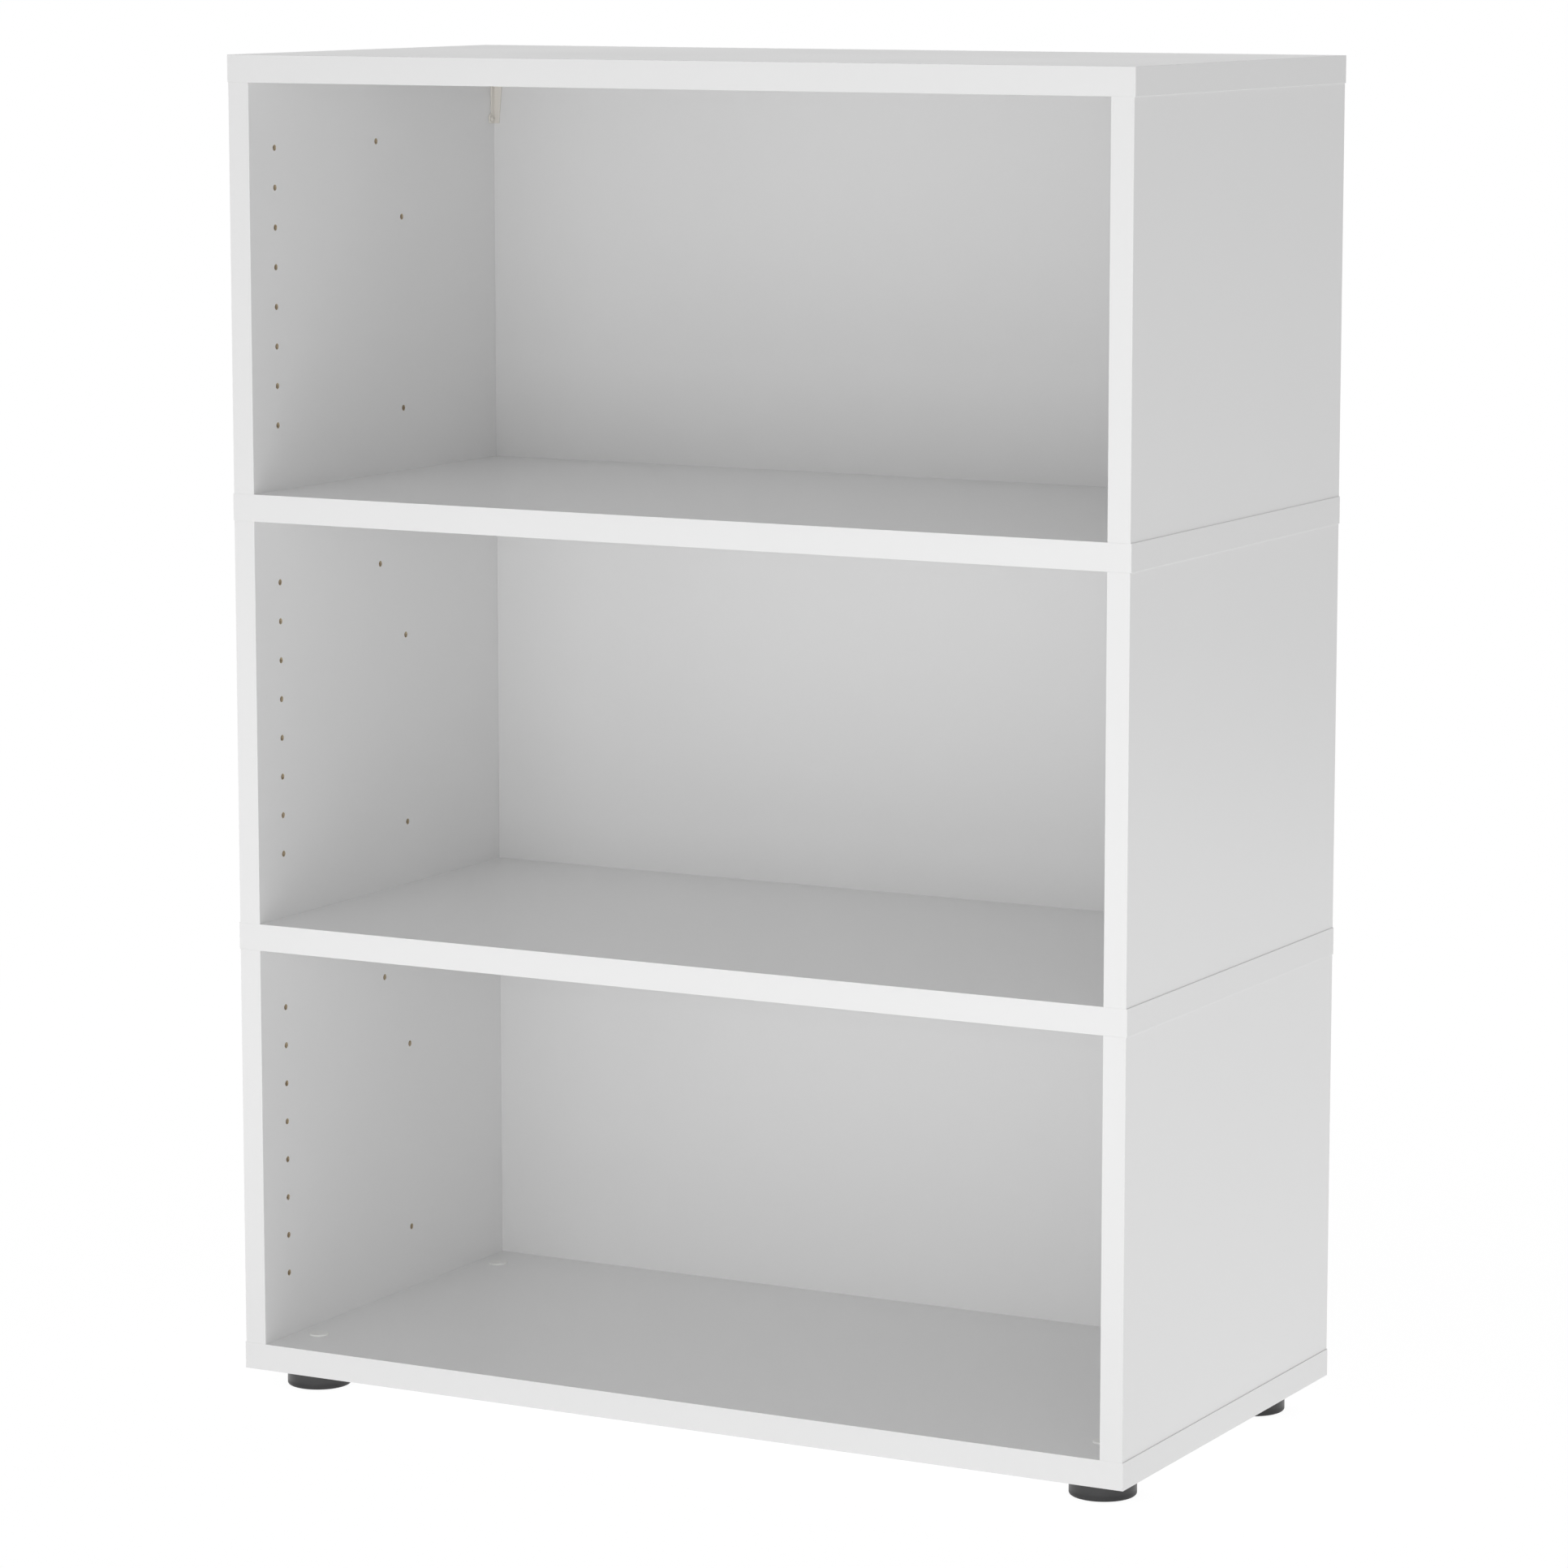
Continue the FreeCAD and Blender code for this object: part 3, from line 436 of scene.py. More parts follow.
def plated_finish(name, base, roughness):
    """Plated steel."""
    material, tree, shader = new_finish(name)
    plating = grouped(tree, "plating", make_plating, {
        "Vector": place_of(tree), "Color": base, "Roughness": roughness})
    shader.inputs["Metallic"].default_value = 1.0
    surface(tree, shader, plating["Color"], plating["Roughness"], plating["Height"], ZINC_RELIEF)
    return material


def beech_finish(name, base):
    """Beech with its grain along the dowels and short dark flecks."""
    material, tree, shader = new_finish(name)
    place = place_of(tree)
    stretched = tree.add("ShaderNodeMapping", {"Vector": place, "Scale": BEECH_GRAIN})
    grain = tree.noise(stretched, 1.0, 4.0, 0.6)
    flecked = tree.add("ShaderNodeMapping", {"Vector": place, "Scale": BEECH_FLECKS})
    flecks = tree.add("ShaderNodeTexVoronoi", {"Vector": flecked, "Scale": 1.0})
    darker = tree.blend(1.0, base, BEECH_SHADE, "MULTIPLY")
    wood = tree.blend(tree.ramp(grain, 0.3, 0.75), base, darker)
    fleck = tree.ramp(flecks.outputs["Distance"], 0.06, 0.2, 0.5, 0.0)
    roughness = tree.ramp(grain, *NOISE_SPAN, 0.55, 0.75)
    surface(tree, shader, tree.blend(fleck, wood, darker), roughness, grain, BEECH_RELIEF)
    return material


def give_finish(material, *nodes):
    """Give CAD nodes a finish."""
    for name in nodes:
        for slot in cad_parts[name].material_slots:
            slot.material = material


# Objects and meshes.

def linked(name, data):
    """A new object in the scene."""
    item = bpy.data.objects.new(name, data)
    bpy.context.scene.collection.objects.link(item)
    return item


def finished_piece(name, mesh, material, body, replaced):
    """A piece at the origin that rides on a body and stands for the CAD nodes that it replaces."""
    mesh.name = name
    mesh.materials.clear()
    mesh.materials.append(material)
    piece = linked(name, mesh)
    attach(piece, body)
    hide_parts(*replaced)


def smooth_shaded(mesh, angle=math.radians(35)):
    """Smooth shading, with edges sharper than the angle kept."""
    mesh.shade_smooth()
    mesh.set_sharp_from_angle(angle=angle)
    return mesh


def plain_mesh(name, shape):
    """A new mesh from a bmesh, which ends here."""
    mesh = bpy.data.meshes.new(name)
    shape.to_mesh(mesh)
    shape.free()
    return mesh


class Turned:
    """A closed turned shape round the Z axis, built ring by ring, with threads between rings."""

    # A thread's section over one pitch: how far up it, and how far out from root to crest.
    ROWS = ((0.0, 0.0), (0.25, 0.0), (0.56, 1.0), (0.69, 1.0))
    # Points nearer than the first merge, and edges shorter than the second collapse.
    MERGED = 0.002 * MILLIMETRE
    COLLAPSED = 0.001 * MILLIMETRE

    def __init__(self, segments):
        self.segments = segments
        self.shape = bmesh.new()
        self.last = None

    def ring(self, radius, height):
        """A level ring of points. The radius may be a function of the angle."""
        points = []
        for step in range(self.segments):
            angle = math.tau * step / self.segments
            reach = radius(angle) if callable(radius) else radius
            place = (reach * math.cos(angle), reach * math.sin(angle), height)
            points.append(self.shape.verts.new(place))
        return points

    def join(self, points):
        """Faces from the last points to these, of which either may be the single point of an end."""
        low = self.last
        self.last = points
        for step in range(self.segments if low else 0):
            following = (step + 1) % self.segments
            if len(low) == 1:
                corners = (points[following], points[step], low[0])
            elif len(points) == 1:
                corners = (low[step], low[following], points[0])
            else:
                corners = (low[step], low[following], points[following], points[step])
            self.shape.faces.new(corners)

    def end(self, height):
        """A flat end: the first call closes the shape below, the last one above."""
        self.join([self.shape.verts.new((0, 0, height))])

    def to(self, radius, height):
        """Go on to a ring of this radius at this height."""
        self.join(self.ring(radius, height))

    def thread(self, root, depth, pitch, low, high):
        """A helical thread that runs out at both ends, between two rings of the root's radius."""
        self.to(root, low)
        rows = len(self.ROWS)
        turns = math.ceil((high - low) / pitch) + 1
        grid = {}
        for row in range(-rows, turns * rows + 1):
            part, crest = self.ROWS[row % rows]
            for step in range(self.segments):
                turn = step / self.segments
                height = low + pitch * (row // rows + part + turn)
                inside = min(height - low, high - height) / pitch
                reach = root + depth * crest * max(0.0, min(1.0, inside))
                angle = math.tau * turn
                grid[row, step] = self.shape.verts.new((
                    reach * math.cos(angle), reach * math.sin(angle), min(max(height, low), high)))
        for row in range(-rows, (turns - 1) * rows):
            for step in range(self.segments):
                around = (row, step + 1) if step + 1 < self.segments else (row + rows, 0)
                above = (around[0] + 1, around[1])
                self.shape.faces.new((grid[row, step], grid[around], grid[above], grid[row + 1, step]))
        self.last = self.ring(root, high)

    def mesh(self, name):
        """The finished mesh: doubles merged, collapsed faces gone, normals outwards."""
        bmesh.ops.remove_doubles(self.shape, verts=self.shape.verts, dist=self.MERGED)
        bmesh.ops.dissolve_degenerate(self.shape, edges=self.shape.edges, dist=self.COLLAPSED)
        bmesh.ops.recalc_face_normals(self.shape, faces=self.shape.faces)
        return smooth_shaded(plain_mesh(name, self.shape))


def hexagon(flats):
    """The radius of a hexagon at an angle, with a corner at angle 0."""
    def reach(angle):
        return flats / 2 / math.cos(angle % (math.pi / 3) - math.pi / 6)
    return reach


def taken_from(holder, *helpers):
    """The plain mesh of an object with its modifiers. The object and its helpers are removed."""
    depsgraph = bpy.context.evaluated_depsgraph_get()
    mesh = bpy.data.meshes.new_from_object(
        holder.evaluated_get(depsgraph), preserve_all_data_layers=True, depsgraph=depsgraph)
    for item in (holder, *helpers):
        bpy.data.objects.remove(item)
    return mesh


def grown(name, mesh, tree, inputs):
    """The plain mesh that a Geometry Nodes tree makes from a mesh with the given inputs."""
    holder = linked(f"{name}_holder", mesh)
    modifier = holder.modifiers.new("pattern", "NODES")
    modifier.node_group = tree
    for item in tree.interface.items_tree:
        if item.name in inputs:
            modifier[item.identifier] = inputs[item.name]
    return taken_from(holder)


def end_tree(tree, copies, material, result):
    """The last steps of every tree: the copies made real, with their material."""
    solid = tree.add("GeometryNodeRealizeInstances", {"Geometry": copies})
    finish = tree.add("GeometryNodeSetMaterial", {"Geometry": solid, "Material": material})
    tree.feed(result["Geometry"], finish)


# Operators, one for each kind of piece.

class BOOKCASE_OT_boards(bpy.types.Operator):
    """White melamine with a raw chipboard core on the four boards"""
    bl_idname = "bookcase.boards"
    bl_label = "Boards"

    def execute(self, context):
        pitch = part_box(BOARDS[1])[0].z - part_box(BOARDS[0])[0].z
        material = panel_finish("white_melamine_boards", BOARDS[0], "Z", pitch=pitch)
        give_finish(material, *BOARDS)
        return {"FINISHED"}


class BOOKCASE_OT_sides(bpy.types.Operator):
    """White melamine with a raw chipboard core on the six side panels"""
    bl_idname = "bookcase.sides"
    bl_label = "Side panels"

    def execute(self, context):
        material = panel_finish("white_melamine_sides", "lower_right_side", "X", both_hands=True)
        give_finish(material, *SIDES)
        return {"FINISHED"}


class BOOKCASE_OT_edge_bands(bpy.types.Operator):
    """Plastic edge bands on boards and side panels"""
    bl_idname = "bookcase.edge_bands"
    bl_label = "Edge bands"

    def execute(self, context):
        given = settings("bookcase_boards")
        material = moulded_finish(
            "white_edge_bands", given.band, given.band_roughness, given.pearl_size, given.pearl_depth,
            shade_range=0.01, roughness_range=0.04)
        give_finish(material, *(f"{panel}_edge_bands" for panel in (*BOARDS, *SIDES)))
        return {"FINISHED"}


class BOOKCASE_OT_back_panels(bpy.types.Operator):
    """White lacquered hardboard back panels"""
    bl_idname = "bookcase.back_panels"
    bl_label = "Back panels"

    def execute(self, context):
        material = panel_finish("white_back_panels", "lower_back_panel", "Y", back=True)
        give_finish(material, *(f"{level}_back_panel" for level in LEVELS))
        return {"FINISHED"}


class BOOKCASE_OT_dowels(bpy.types.Operator):
    """Fluted beech dowels in every joint of a board and a side panel"""
    bl_idname = "bookcase.dowels"
    bl_label = "Dowels"

    CHAMFER = 1.0 * MILLIMETRE
    COUNT = 4

    def execute(self, context):
        given = settings("bookcase_fittings")
        material = beech_finish("beech_dowels", given.beech)
        tree = kept_group("fluted_dowels", make_dowel_tree)
        for board in BOARDS:
            node = f"{board.removesuffix('_board')}_dowels"
            low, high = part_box(node)
            radius = dowel_radius(node)
            spacing = (high.y - low.y - 2 * radius) / (self.COUNT - 1)
            mesh = grown(node, bpy.data.meshes.new(node), tree, {
                "Radius": radius, "Flutes": given.flutes, "Flute Depth": given.flute_depth,
                "Chamfer": self.CHAMFER, "Low": low.z, "High": high.z, "Aside": high.x - radius,
                "First": low.y + radius, "Spacing": spacing, "Count": self.COUNT,
                "Material": material})
            finished_piece(f"{node}_fluted", mesh, material, "carcass", [node])
        return {"FINISHED"}


def dowel_radius(node):
    """Half the width in X of the dowels on one side of a node."""
    across = [vertex.co.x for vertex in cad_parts[node].data.vertices if vertex.co.x > 0]
    return (max(across) - min(across)) / 2


def make_dowel_tree(name):
    """Rows of fluted dowels on both sides of the middle, standing upright."""
    tree, given, result = new_group(name, "GeometryNodeTree", [
        ("Radius", "Float", 0.004), ("Flutes", "Int", 16), ("Flute Depth", "Float", 0.0003),
        ("Chamfer", "Float", 0.001), ("Low", "Float", 0.0), ("High", "Float", 0.04),
        ("Aside", "Float", 0.1), ("First", "Float", 0.0), ("Spacing", "Float", 0.1),
        ("Count", "Int", 4), ("Material", "Material"),
    ], [("Geometry", "Geometry")])
    section = tree.add("GeometryNodeCurveStar", {
        "Points": given["Flutes"], "Outer Radius": given["Radius"],
        "Inner Radius": tree.math("SUBTRACT", given["Radius"], given["Flute Depth"])})
    # Four points up the dowel: both ends, drawn in by the chamfer, and the two starts of its body.
    stations = tree.add("GeometryNodeMeshLine", {"Count": 4})
    index = tree.add("GeometryNodeInputIndex")
    is_high = tree.math("GREATER_THAN", index, 1.5)
    is_body = tree.math("COMPARE", index, 1.5, 0.6)
    end = tree.between(is_high, given["Low"], given["High"])
    inward = tree.math("MULTIPLY_ADD", is_high, -2.0, 1.0)
    step = tree.math("MULTIPLY", tree.math("MULTIPLY", inward, given["Chamfer"]), is_body)
    height = tree.math("ADD", end, step)
    placed = tree.add("GeometryNodeSetPosition", {
        "Geometry": stations, "Position": tree.vector(z=height)})
    rail = tree.add("GeometryNodeMeshToCurve", {"Mesh": placed})
    end_radius = tree.math("SUBTRACT", given["Radius"], given["Chamfer"])
    narrow = tree.math("DIVIDE", end_radius, given["Radius"])
    dowel = tree.add("GeometryNodeCurveToMesh", {
        "Curve": rail, "Profile Curve": section, "Scale": tree.between(is_body, narrow, 1.0),
        "Fill Caps": True})
    rows = tree.add("GeometryNodeJoinGeometry")
    for side in (-1.0, 1.0):
        row = tree.add("GeometryNodeMeshLine", {
            "Count": given["Count"],
            "Start Location": tree.vector(tree.math("MULTIPLY", given["Aside"], side), given["First"]),
            "Offset": tree.vector(y=given["Spacing"])})
        tree.feed(rows.inputs["Geometry"], row)
    copies = tree.add("GeometryNodeInstanceOnPoints", {"Points": rows, "Instance": dowel})
    end_tree(tree, copies, given["Material"], result)


class BOOKCASE_OT_foot_pads(bpy.types.Operator):
    """Black moulded pads under the four feet"""
    bl_idname = "bookcase.foot_pads"
    bl_label = "Foot pads"

    SPARK_DEPTH = 0.02 * MILLIMETRE

    def execute(self, context):
        given = settings("bookcase_feet")
        material = moulded_finish(
            "black_foot_pads", given.plastic, given.plastic_roughness, given.spark_size,
            self.SPARK_DEPTH, shade_range=0.12, roughness_range=0.12)
        give_finish(material, *(f"{corner}_foot_pad" for corner in CORNERS))
        return {"FINISHED"}


class BOOKCASE_OT_spindles(bpy.types.Operator):
    """Threaded spindles with a key socket, one to each foot"""
    bl_idname = "bookcase.spindles"
    bl_label = "Foot spindles"

    # The shank's radius is the thread's crest, and the socket's mouth widens by the countersink.
    SEGMENTS = 48
    SHANK = 4.93 * MILLIMETRE
    HEAD_HEIGHT = 4 * MILLIMETRE
    CHAMFER = 1 * MILLIMETRE
    NECK = 0.8 * MILLIMETRE
    COUNTERSINK = 1.1

    def spindle(self, head, height, given):
        """One spindle that stands on the origin, with its head's radius and its height."""
        shoulder = self.HEAD_HEIGHT
        root = self.SHANK - given.thread_depth
        socket = hexagon(given.key_flats)
        round_off = self.CHAMFER / 3
        turned = Turned(self.SEGMENTS)
        turned.end(0)
        turned.to(head - self.CHAMFER, 0)
        turned.to(head, self.CHAMFER)
        turned.to(head, shoulder - round_off)
        turned.to(head - round_off, shoulder)
        turned.to(root, shoulder)
        turned.thread(root, given.thread_depth, given.thread_pitch,
                      shoulder + self.NECK, height - self.CHAMFER)
        turned.to(root - round_off, height)
        turned.to(lambda angle: socket(angle) * self.COUNTERSINK, height)
        turned.to(socket, height - round_off)
        turned.to(socket, height - given.key_depth)
        turned.end(height - given.key_depth)
        return turned.mesh("spindle")

    def execute(self, context):
        given = settings("bookcase_feet")
        material = plated_finish("zinc_spindles", given.zinc, given.zinc_roughness)
        tree = kept_group("spindle_at_foot", make_placing_tree)
        for corner in CORNERS:
            node = f"{corner}_foot_spindle"
            low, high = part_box(node)
            spindle = self.spindle((high.x - low.x) / 2, high.z - low.z, given)
            place = ((low.x + high.x) / 2, (low.y + high.y) / 2, low.z)
            mesh = grown(node, spindle, tree, {"Place": place, "Material": material})
            finished_piece(f"{node}_threaded", mesh, material, f"{corner}_screw",
                           [node])
        return {"FINISHED"}


def make_placing_tree(name):
    """A part set upright at one place."""
    tree, given, result = new_group(name, "GeometryNodeTree", [
        ("Part", "Geometry"),
        ("Place", "Vector"),
        ("Material", "Material"),
    ], [("Geometry", "Geometry")])
    point = tree.add("GeometryNodePoints", {"Count": 1, "Position": given["Place"]})
    copy = tree.add("GeometryNodeInstanceOnPoints", {"Points": point, "Instance": given["Part"]})
    end_tree(tree, copy, given["Material"], result)


class BOOKCASE_OT_sleeves(bpy.types.Operator):
    """Plated sleeves pressed into the bottom board"""
    bl_idname = "bookcase.sleeves"
    bl_label = "Foot sleeves"

    def execute(self, context):
        given = settings("bookcase_feet")
        material = plated_finish("zinc_sleeves", given.zinc, given.zinc_roughness)
        give_finish(material, *(f"{corner}_foot_sleeve" for corner in CORNERS))
        return {"FINISHED"}


class BOOKCASE_OT_caps(bpy.types.Operator):
    """White push-in caps over the key holes"""
    bl_idname = "bookcase.caps"
    bl_label = "Foot caps"

    SPARK_DEPTH = 0.006 * MILLIMETRE

    def execute(self, context):
        given = settings("bookcase_feet")
        material = moulded_finish(
            "white_caps", given.cap, given.cap_roughness, given.spark_size, self.SPARK_DEPTH,
            shade_range=0.01, roughness_range=0.05)
        give_finish(material, *(f"{corner}_foot_cap" for corner in CORNERS))
        return {"FINISHED"}


class BOOKCASE_OT_brackets(bpy.types.Operator):
    """Moulded corner brackets with softened edges"""
    bl_idname = "bookcase.brackets"
    bl_label = "Corner brackets"

    # Faces flatter to each other than the first angle are one, and sharper edges than the second
    # are rounded. What is left over the third keeps a sharp shade.
    SPARK_SIZE = 0.6 * MILLIMETRE
    SPARK_DEPTH = 0.01 * MILLIMETRE
    MERGED = 0.005 * MILLIMETRE
    FLAT = math.radians(1)
    SHARP = math.radians(40)
    SMOOTH = math.radians(30)

    def execute(self, context):
        given = settings("bookcase_fittings")
        material = moulded_finish("cream_brackets", given.bracket, given.bracket_roughness,
                                  self.SPARK_SIZE, self.SPARK_DEPTH)
        for hand in HANDS:
            node = f"{hand}_corner_bracket"
            mesh = self.softened(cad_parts[node].data, given.bracket_edge)
            finished_piece(f"{node}_moulded", mesh, material, "carcass",
                           [node])
        return {"FINISHED"}

    def softened(self, source, width):
        """A copy of a bracket's mesh, merged, with its sharp edges rounded."""
        shape = bmesh.new()
        shape.from_mesh(source)
        bmesh.ops.remove_doubles(shape, verts=shape.verts, dist=self.MERGED)
        bmesh.ops.dissolve_limit(shape, angle_limit=self.FLAT, verts=shape.verts, edges=shape.edges)
        holder = linked("bracket_holder", plain_mesh("bracket", shape))
        bevel = holder.modifiers.new("edges", "BEVEL")
        bevel.width = width
        bevel.segments = 2
        bevel.limit_method = "ANGLE"
        bevel.angle_limit = self.SHARP
        result = taken_from(holder)
        for layer in list(result.attributes):
            if layer.name == "custom_normal":
                result.attributes.remove(layer)
        return smooth_shaded(result, self.SMOOTH)


class BOOKCASE_OT_screws(bpy.types.Operator):
    """Cross-head screws that hold the corner brackets"""
    bl_idname = "bookcase.screws"
    bl_label = "Bracket screws"

    # The head's rings and underside are shares of its radius, and its dome and rim of its height.
    # The tip is a share of the root's radius and of the point's length.
    SEGMENTS = 32
    HEAD_RADIUS = 2.2 * MILLIMETRE
    HEAD_HEIGHT = 1.6 * MILLIMETRE
    HEAD_RINGS = (0.35, 0.6, 0.8, 0.93, 1.0)
    DOME = 0.72
    RIM = 0.1
    UNDERSIDE = 0.94
    NECK = 0.4 * MILLIMETRE
    SHANK = 1.5 * MILLIMETRE
    POINT = 2.5 * MILLIMETRE
    TIP_RADIUS = 0.5
    TIP_LENGTH = 0.35
    LENGTH = 12 * MILLIMETRE
    CROSS_ARM = 1.25 * MILLIMETRE
    CROSS_WIDTH = 0.5 * MILLIMETRE
    CROSS_DEPTH = 1.1 * MILLIMETRE
    CROSS_TAPER = 0.45
    LACQUER_WAVES = 0.4 * MILLIMETRE
    LACQUER_DEPTH = 0.008 * MILLIMETRE

    def screw(self, given):
        """One screw that points up, with the underside of its head at the origin."""
        root = self.SHANK - given.screw_depth
        turned = Turned(self.SEGMENTS)
        turned.end(-self.HEAD_HEIGHT)
        for part in self.HEAD_RINGS:
            drop = self.HEAD_HEIGHT * (1 - self.DOME * (1 - math.sqrt(1 - part ** 2)))
            turned.to(self.HEAD_RADIUS * part, -drop)
        turned.to(self.HEAD_RADIUS, -self.RIM * self.HEAD_HEIGHT)
        turned.to(self.HEAD_RADIUS * self.UNDERSIDE, 0)
        turned.to(root, 0)
        turned.thread(root, given.screw_depth, given.screw_pitch, self.NECK, self.LENGTH - self.POINT)
        turned.to(root * self.TIP_RADIUS, self.LENGTH - self.TIP_LENGTH * self.POINT)
        turned.end(self.LENGTH)
        return turned.mesh("screw")

    def cross(self):
        """The tapered cross that the recess in a screw's head is cut with."""
        shape = bmesh.new()
        for along, across in ((self.CROSS_ARM, self.CROSS_WIDTH), (self.CROSS_WIDTH, self.CROSS_ARM)):
            block = bmesh.ops.create_cube(shape, size=1)["verts"]
            for vertex in block:
                deep = vertex.co.z > 0
                taper = self.CROSS_TAPER if deep else 1.0
                vertex.co.x = math.copysign(along * taper, vertex.co.x)
                vertex.co.y = math.copysign(across * taper, vertex.co.y)
                vertex.co.z = self.CROSS_DEPTH - self.HEAD_HEIGHT if deep else -2 * self.HEAD_HEIGHT
        return plain_mesh("cross", shape)

    def cut(self, mesh):
        """The screw with its cross recess."""
        holder = linked("screw_holder", mesh)
        cutter = linked("cross_holder", self.cross())
        recess = holder.modifiers.new("recess", "BOOLEAN")
        recess.operation = "DIFFERENCE"
        recess.solver = "EXACT"
        recess.use_self = True
        recess.object = cutter
        return smooth_shaded(taken_from(holder, cutter))

    def execute(self, context):
        given = settings("bookcase_fittings")
        material = moulded_finish("lacquered_bracket_screws", given.lacquer, given.lacquer_roughness,
                                  self.LACQUER_WAVES, self.LACQUER_DEPTH)
        tree = kept_group("screws_at_brackets", make_screw_tree)
        mesh = grown("bracket_screws", self.cut(self.screw(given)), tree, {
            **self.places(), "Material": material})
        finished_piece("bracket_screws_cross_head", mesh, material, "carcass",
                       ["bracket_screws"])
        return {"FINISHED"}

    def places(self):
        """Where the right bracket's two screws sit under their heads, from the CAD screws' boxes."""
        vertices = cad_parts["bracket_screws"].data.vertices
        points = [vertex.co for vertex in vertices if vertex.co.x > 0]
        top = max(point.z for point in points)
        reach = max(point.x for point in points)
        tongue = middle_of([point for point in points if point.z > top - self.LENGTH])
        ear = middle_of([point for point in points if point.x > reach - 0.5 * self.LENGTH])
        return {
            "Tongue Screw": (tongue.x, tongue.y, top - self.LENGTH),
            "Ear Screw": (reach - self.LENGTH, ear.y, ear.z),
        }


def middle_of(points):
    """The middle of the box round some points."""
    ranges = ([point[axis] for point in points] for axis in range(3))
    return Vector([(min(values) + max(values)) / 2 for values in ranges])


def make_screw_tree(name):
    """A screw set four times: up into the top board and out into the side panel, on both hands."""
    tree, given, result = new_group(name, "GeometryNodeTree", [
        ("Screw", "Geometry"),
        ("Tongue Screw", "Vector"),
        ("Ear Screw", "Vector"),
        ("Material", "Material"),
    ], [("Geometry", "Geometry")])
    index = tree.add("GeometryNodeInputIndex")
    outward = tree.math("MULTIPLY_ADD", index, 2.0, -1.0)
    both = tree.add("GeometryNodeJoinGeometry")
    for label, quarter in (("Tongue Screw", 0.0), ("Ear Screw", math.pi / 2)):
        parts = tree.add("ShaderNodeSeparateXYZ", {"Vector": given[label]}).outputs
        place = tree.vector(tree.math("MULTIPLY", parts["X"], outward), parts["Y"], parts["Z"])
        turn = tree.vector(y=tree.math("MULTIPLY", outward, quarter))
        points = tree.add("GeometryNodePoints", {"Count": 2, "Position": place})
        copies = tree.add("GeometryNodeInstanceOnPoints", {
            "Points": points, "Instance": given["Screw"], "Rotation": turn})
        tree.feed(both.inputs["Geometry"], copies)
    end_tree(tree, both, given["Material"], result)


# Stage.

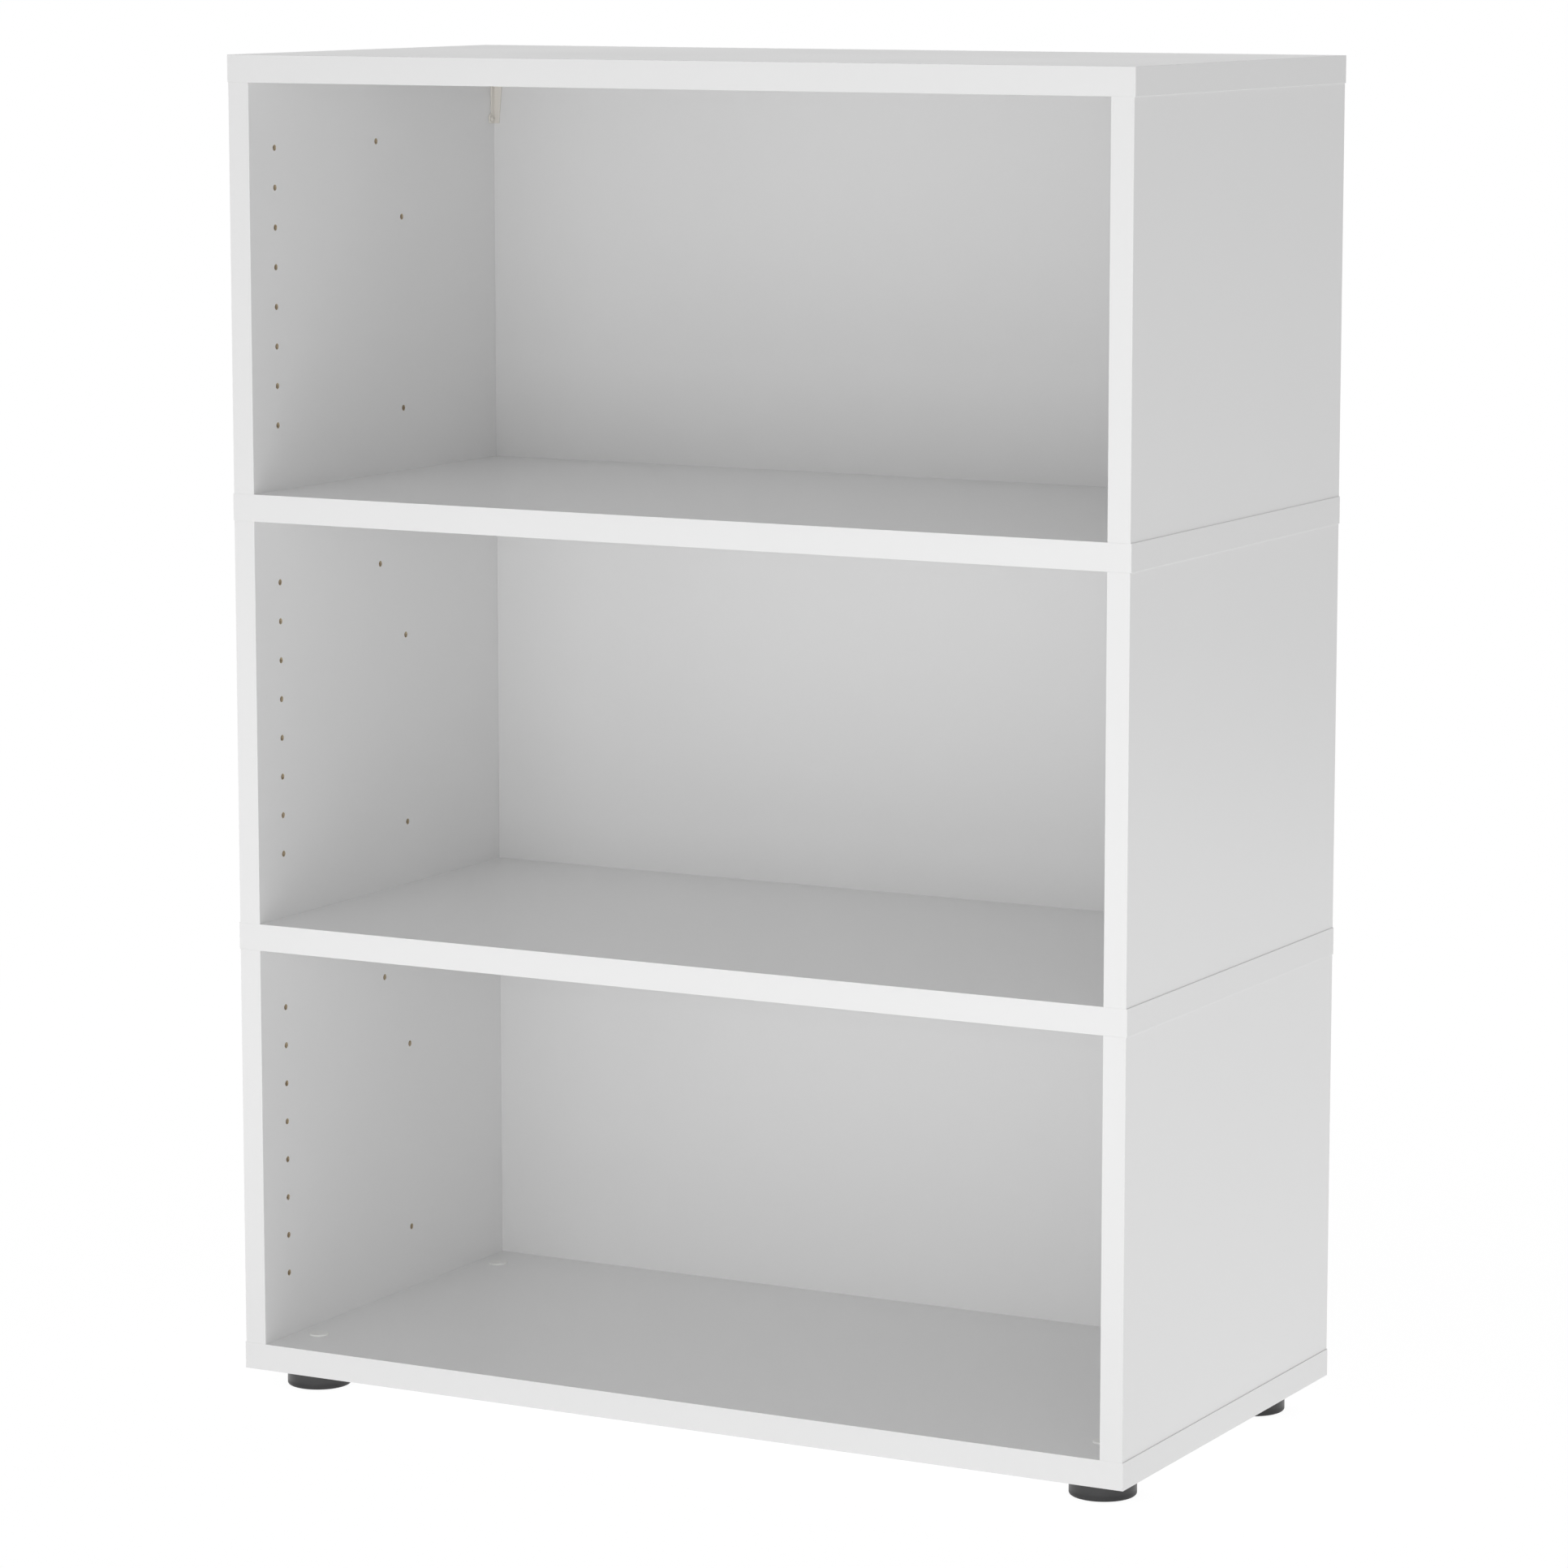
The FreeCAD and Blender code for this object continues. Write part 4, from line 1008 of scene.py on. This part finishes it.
class BOOKCASE_OT_studio(bpy.types.Operator):
    """Camera, floor, lamps and world"""
    bl_idname = "bookcase.studio"
    bl_label = "Studio"

    SENSOR_WIDTH = 36
    VIEW_REACH = 200
    FLOOR_HALF = 60
    FLOOR_ROUGHNESS = 0.9

    # Each lamp's name, place, target, width and height, and its power setting.
    LAMPS = (
        ("floor_light", (0, 0, 0.004), (0, 0, 1), (6.0, 6.0), "floor_level"),
        ("front_floor_light", (0.1, -1.5, 0.02), (0.1, -1.5, 1), (3.4, 1.8), "front_floor_level"),
        ("front_lamp", (0.3, -3.2, 0.6), (0, 0, 0.6), (3.0, 1.1), "front_level"),
        ("right_lamp", (2.2, -2.6, 0.7), (0, 0, 0.6), (1.6, 1.3), "right_level"),
    )

    def execute(self, context):
        given = settings("bookcase_studio")
        context.scene.view_settings.view_transform = "Standard"
        self.camera(context, given)
        self.floor(given)
        self.world(context, given)
        for name, place, target, size, level in self.LAMPS:
            self.lamp(name, place, target, size, getattr(given, level))
        return {"FINISHED"}

    def camera(self, context, given):
        """A long lens that looks slightly down from the right of the front."""
        data = bpy.data.cameras.new("camera")
        data.lens = given.lens
        data.sensor_width = self.SENSOR_WIDTH
        data.clip_end = self.VIEW_REACH
        camera = linked("camera", data)
        camera.location = given.camera_place
        camera.rotation_euler = (math.pi / 2 - given.camera_pitch, 0, given.camera_heading)
        context.scene.camera = camera

    def floor(self, given):
        """A wide pale floor that shows white to the camera and keeps a soft shadow."""
        mesh = bpy.data.meshes.new("floor")
        half = self.FLOOR_HALF
        corners = [(-half, -half, 0), (half, -half, 0), (half, half, 0), (-half, half, 0)]
        mesh.from_pydata(corners, [], [(0, 1, 2, 3)])
        floor = linked("floor", mesh)
        material, tree, shader = new_finish("pale_floor")
        place = place_of(tree)
        shade = tree.ramp(tree.noise(place, FLOOR_CLOUDS, 2.0), *NOISE_SPAN, 0.99, 1.0)
        tree.feed(shader.inputs["Base Color"], shaded(tree, given.floor, shade))
        shader.inputs["Roughness"].default_value = self.FLOOR_ROUGHNESS
        shader.inputs["Specular IOR Level"].default_value = 0.0
        away = tree.add("ShaderNodeVectorMath", {0: place}, operation="LENGTH").outputs["Value"]
        glow = tree.add("ShaderNodeEmission", {
            "Strength": tree.ramp(away, given.glow_start, given.glow_end, given.glow_level, 1.0)})
        share_of_white = tree.ramp(away, given.glow_start, given.glow_end, given.floor_glow, 1.0)
        white = tree.math("MULTIPLY", seen(tree), share_of_white)
        mix = tree.add("ShaderNodeMixShader", {"Fac": white})
        tree.feed(mix.inputs[1], shader)
        tree.feed(mix.inputs[2], glow)
        output = material.node_tree.nodes["Material Output"]
        tree.feed(output.inputs["Surface"], mix)
        mesh.materials.append(material)

    def world(self, context, given):
        """Even light from all round, white to the camera and in reflections."""
        world = bpy.data.worlds.new("studio")
        world.use_nodes = True
        tree = Tree(world.node_tree)
        level = tree.ramp(seen(tree), 0.0, 1.0, given.world_level, 1.0)
        background = world.node_tree.nodes["Background"]
        background.inputs["Color"].default_value = (1, 1, 1, 1)
        tree.feed(background.inputs["Strength"], level)
        context.scene.world = world

    def lamp(self, name, place, target, size, watts):
        """A rectangular lamp that faces a target."""
        data = bpy.data.lights.new(name, "AREA")
        data.shape = "RECTANGLE"
        data.size, data.size_y = size
        data.energy = watts
        lamp = linked(name, data)
        lamp.location = place
        lamp.rotation_euler = (Vector(target) - Vector(place)).to_track_quat("-Z", "Y").to_euler()
        lamp.visible_camera = False


PIECE_OPERATORS = (
    BOOKCASE_OT_boards,
    BOOKCASE_OT_sides,
    BOOKCASE_OT_edge_bands,
    BOOKCASE_OT_back_panels,
    BOOKCASE_OT_dowels,
    BOOKCASE_OT_foot_pads,
    BOOKCASE_OT_spindles,
    BOOKCASE_OT_sleeves,
    BOOKCASE_OT_caps,
    BOOKCASE_OT_brackets,
    BOOKCASE_OT_screws,
)
SETTINGS = {
    "bookcase_boards": BoardSettings,
    "bookcase_feet": FootSettings,
    "bookcase_fittings": FittingSettings,
    "bookcase_studio": StudioSettings,
}


class BOOKCASE_PT_sidebar(bpy.types.Panel):
    """The bookcase's pieces and their settings"""
    bl_idname = "BOOKCASE_PT_sidebar"
    bl_label = "Bookcase"
    bl_space_type = "VIEW_3D"
    bl_region_type = "UI"
    bl_category = "Bookcase"

    def draw(self, context):
        for name, group in SETTINGS.items():
            box = self.layout.box()
            box.label(text=group.__doc__)
            for field in group.__annotations__:
                box.prop(getattr(context.scene, name), field)
        column = self.layout.column(align=True)
        for operator in (*PIECE_OPERATORS, BOOKCASE_OT_studio):
            column.operator(operator.bl_idname)


CLASSES = (*SETTINGS.values(), *PIECE_OPERATORS, BOOKCASE_OT_studio, BOOKCASE_PT_sidebar)


def register():
    for item in CLASSES:
        bpy.utils.register_class(item)
    for name, group in SETTINGS.items():
        setattr(bpy.types.Scene, name, bpy.props.PointerProperty(type=group))


def unregister():
    for name in SETTINGS:
        delattr(bpy.types.Scene, name)
    for item in reversed(CLASSES):
        bpy.utils.unregister_class(item)


def run(operator):
    """Call an operator by its name through bpy.ops."""
    module, name = operator.bl_idname.split(".")
    getattr(getattr(bpy.ops, module), name)()


def main():
    register()
    for operator in (*PIECE_OPERATORS, BOOKCASE_OT_studio):
        run(operator)


if __name__ == "__main__":
    main()
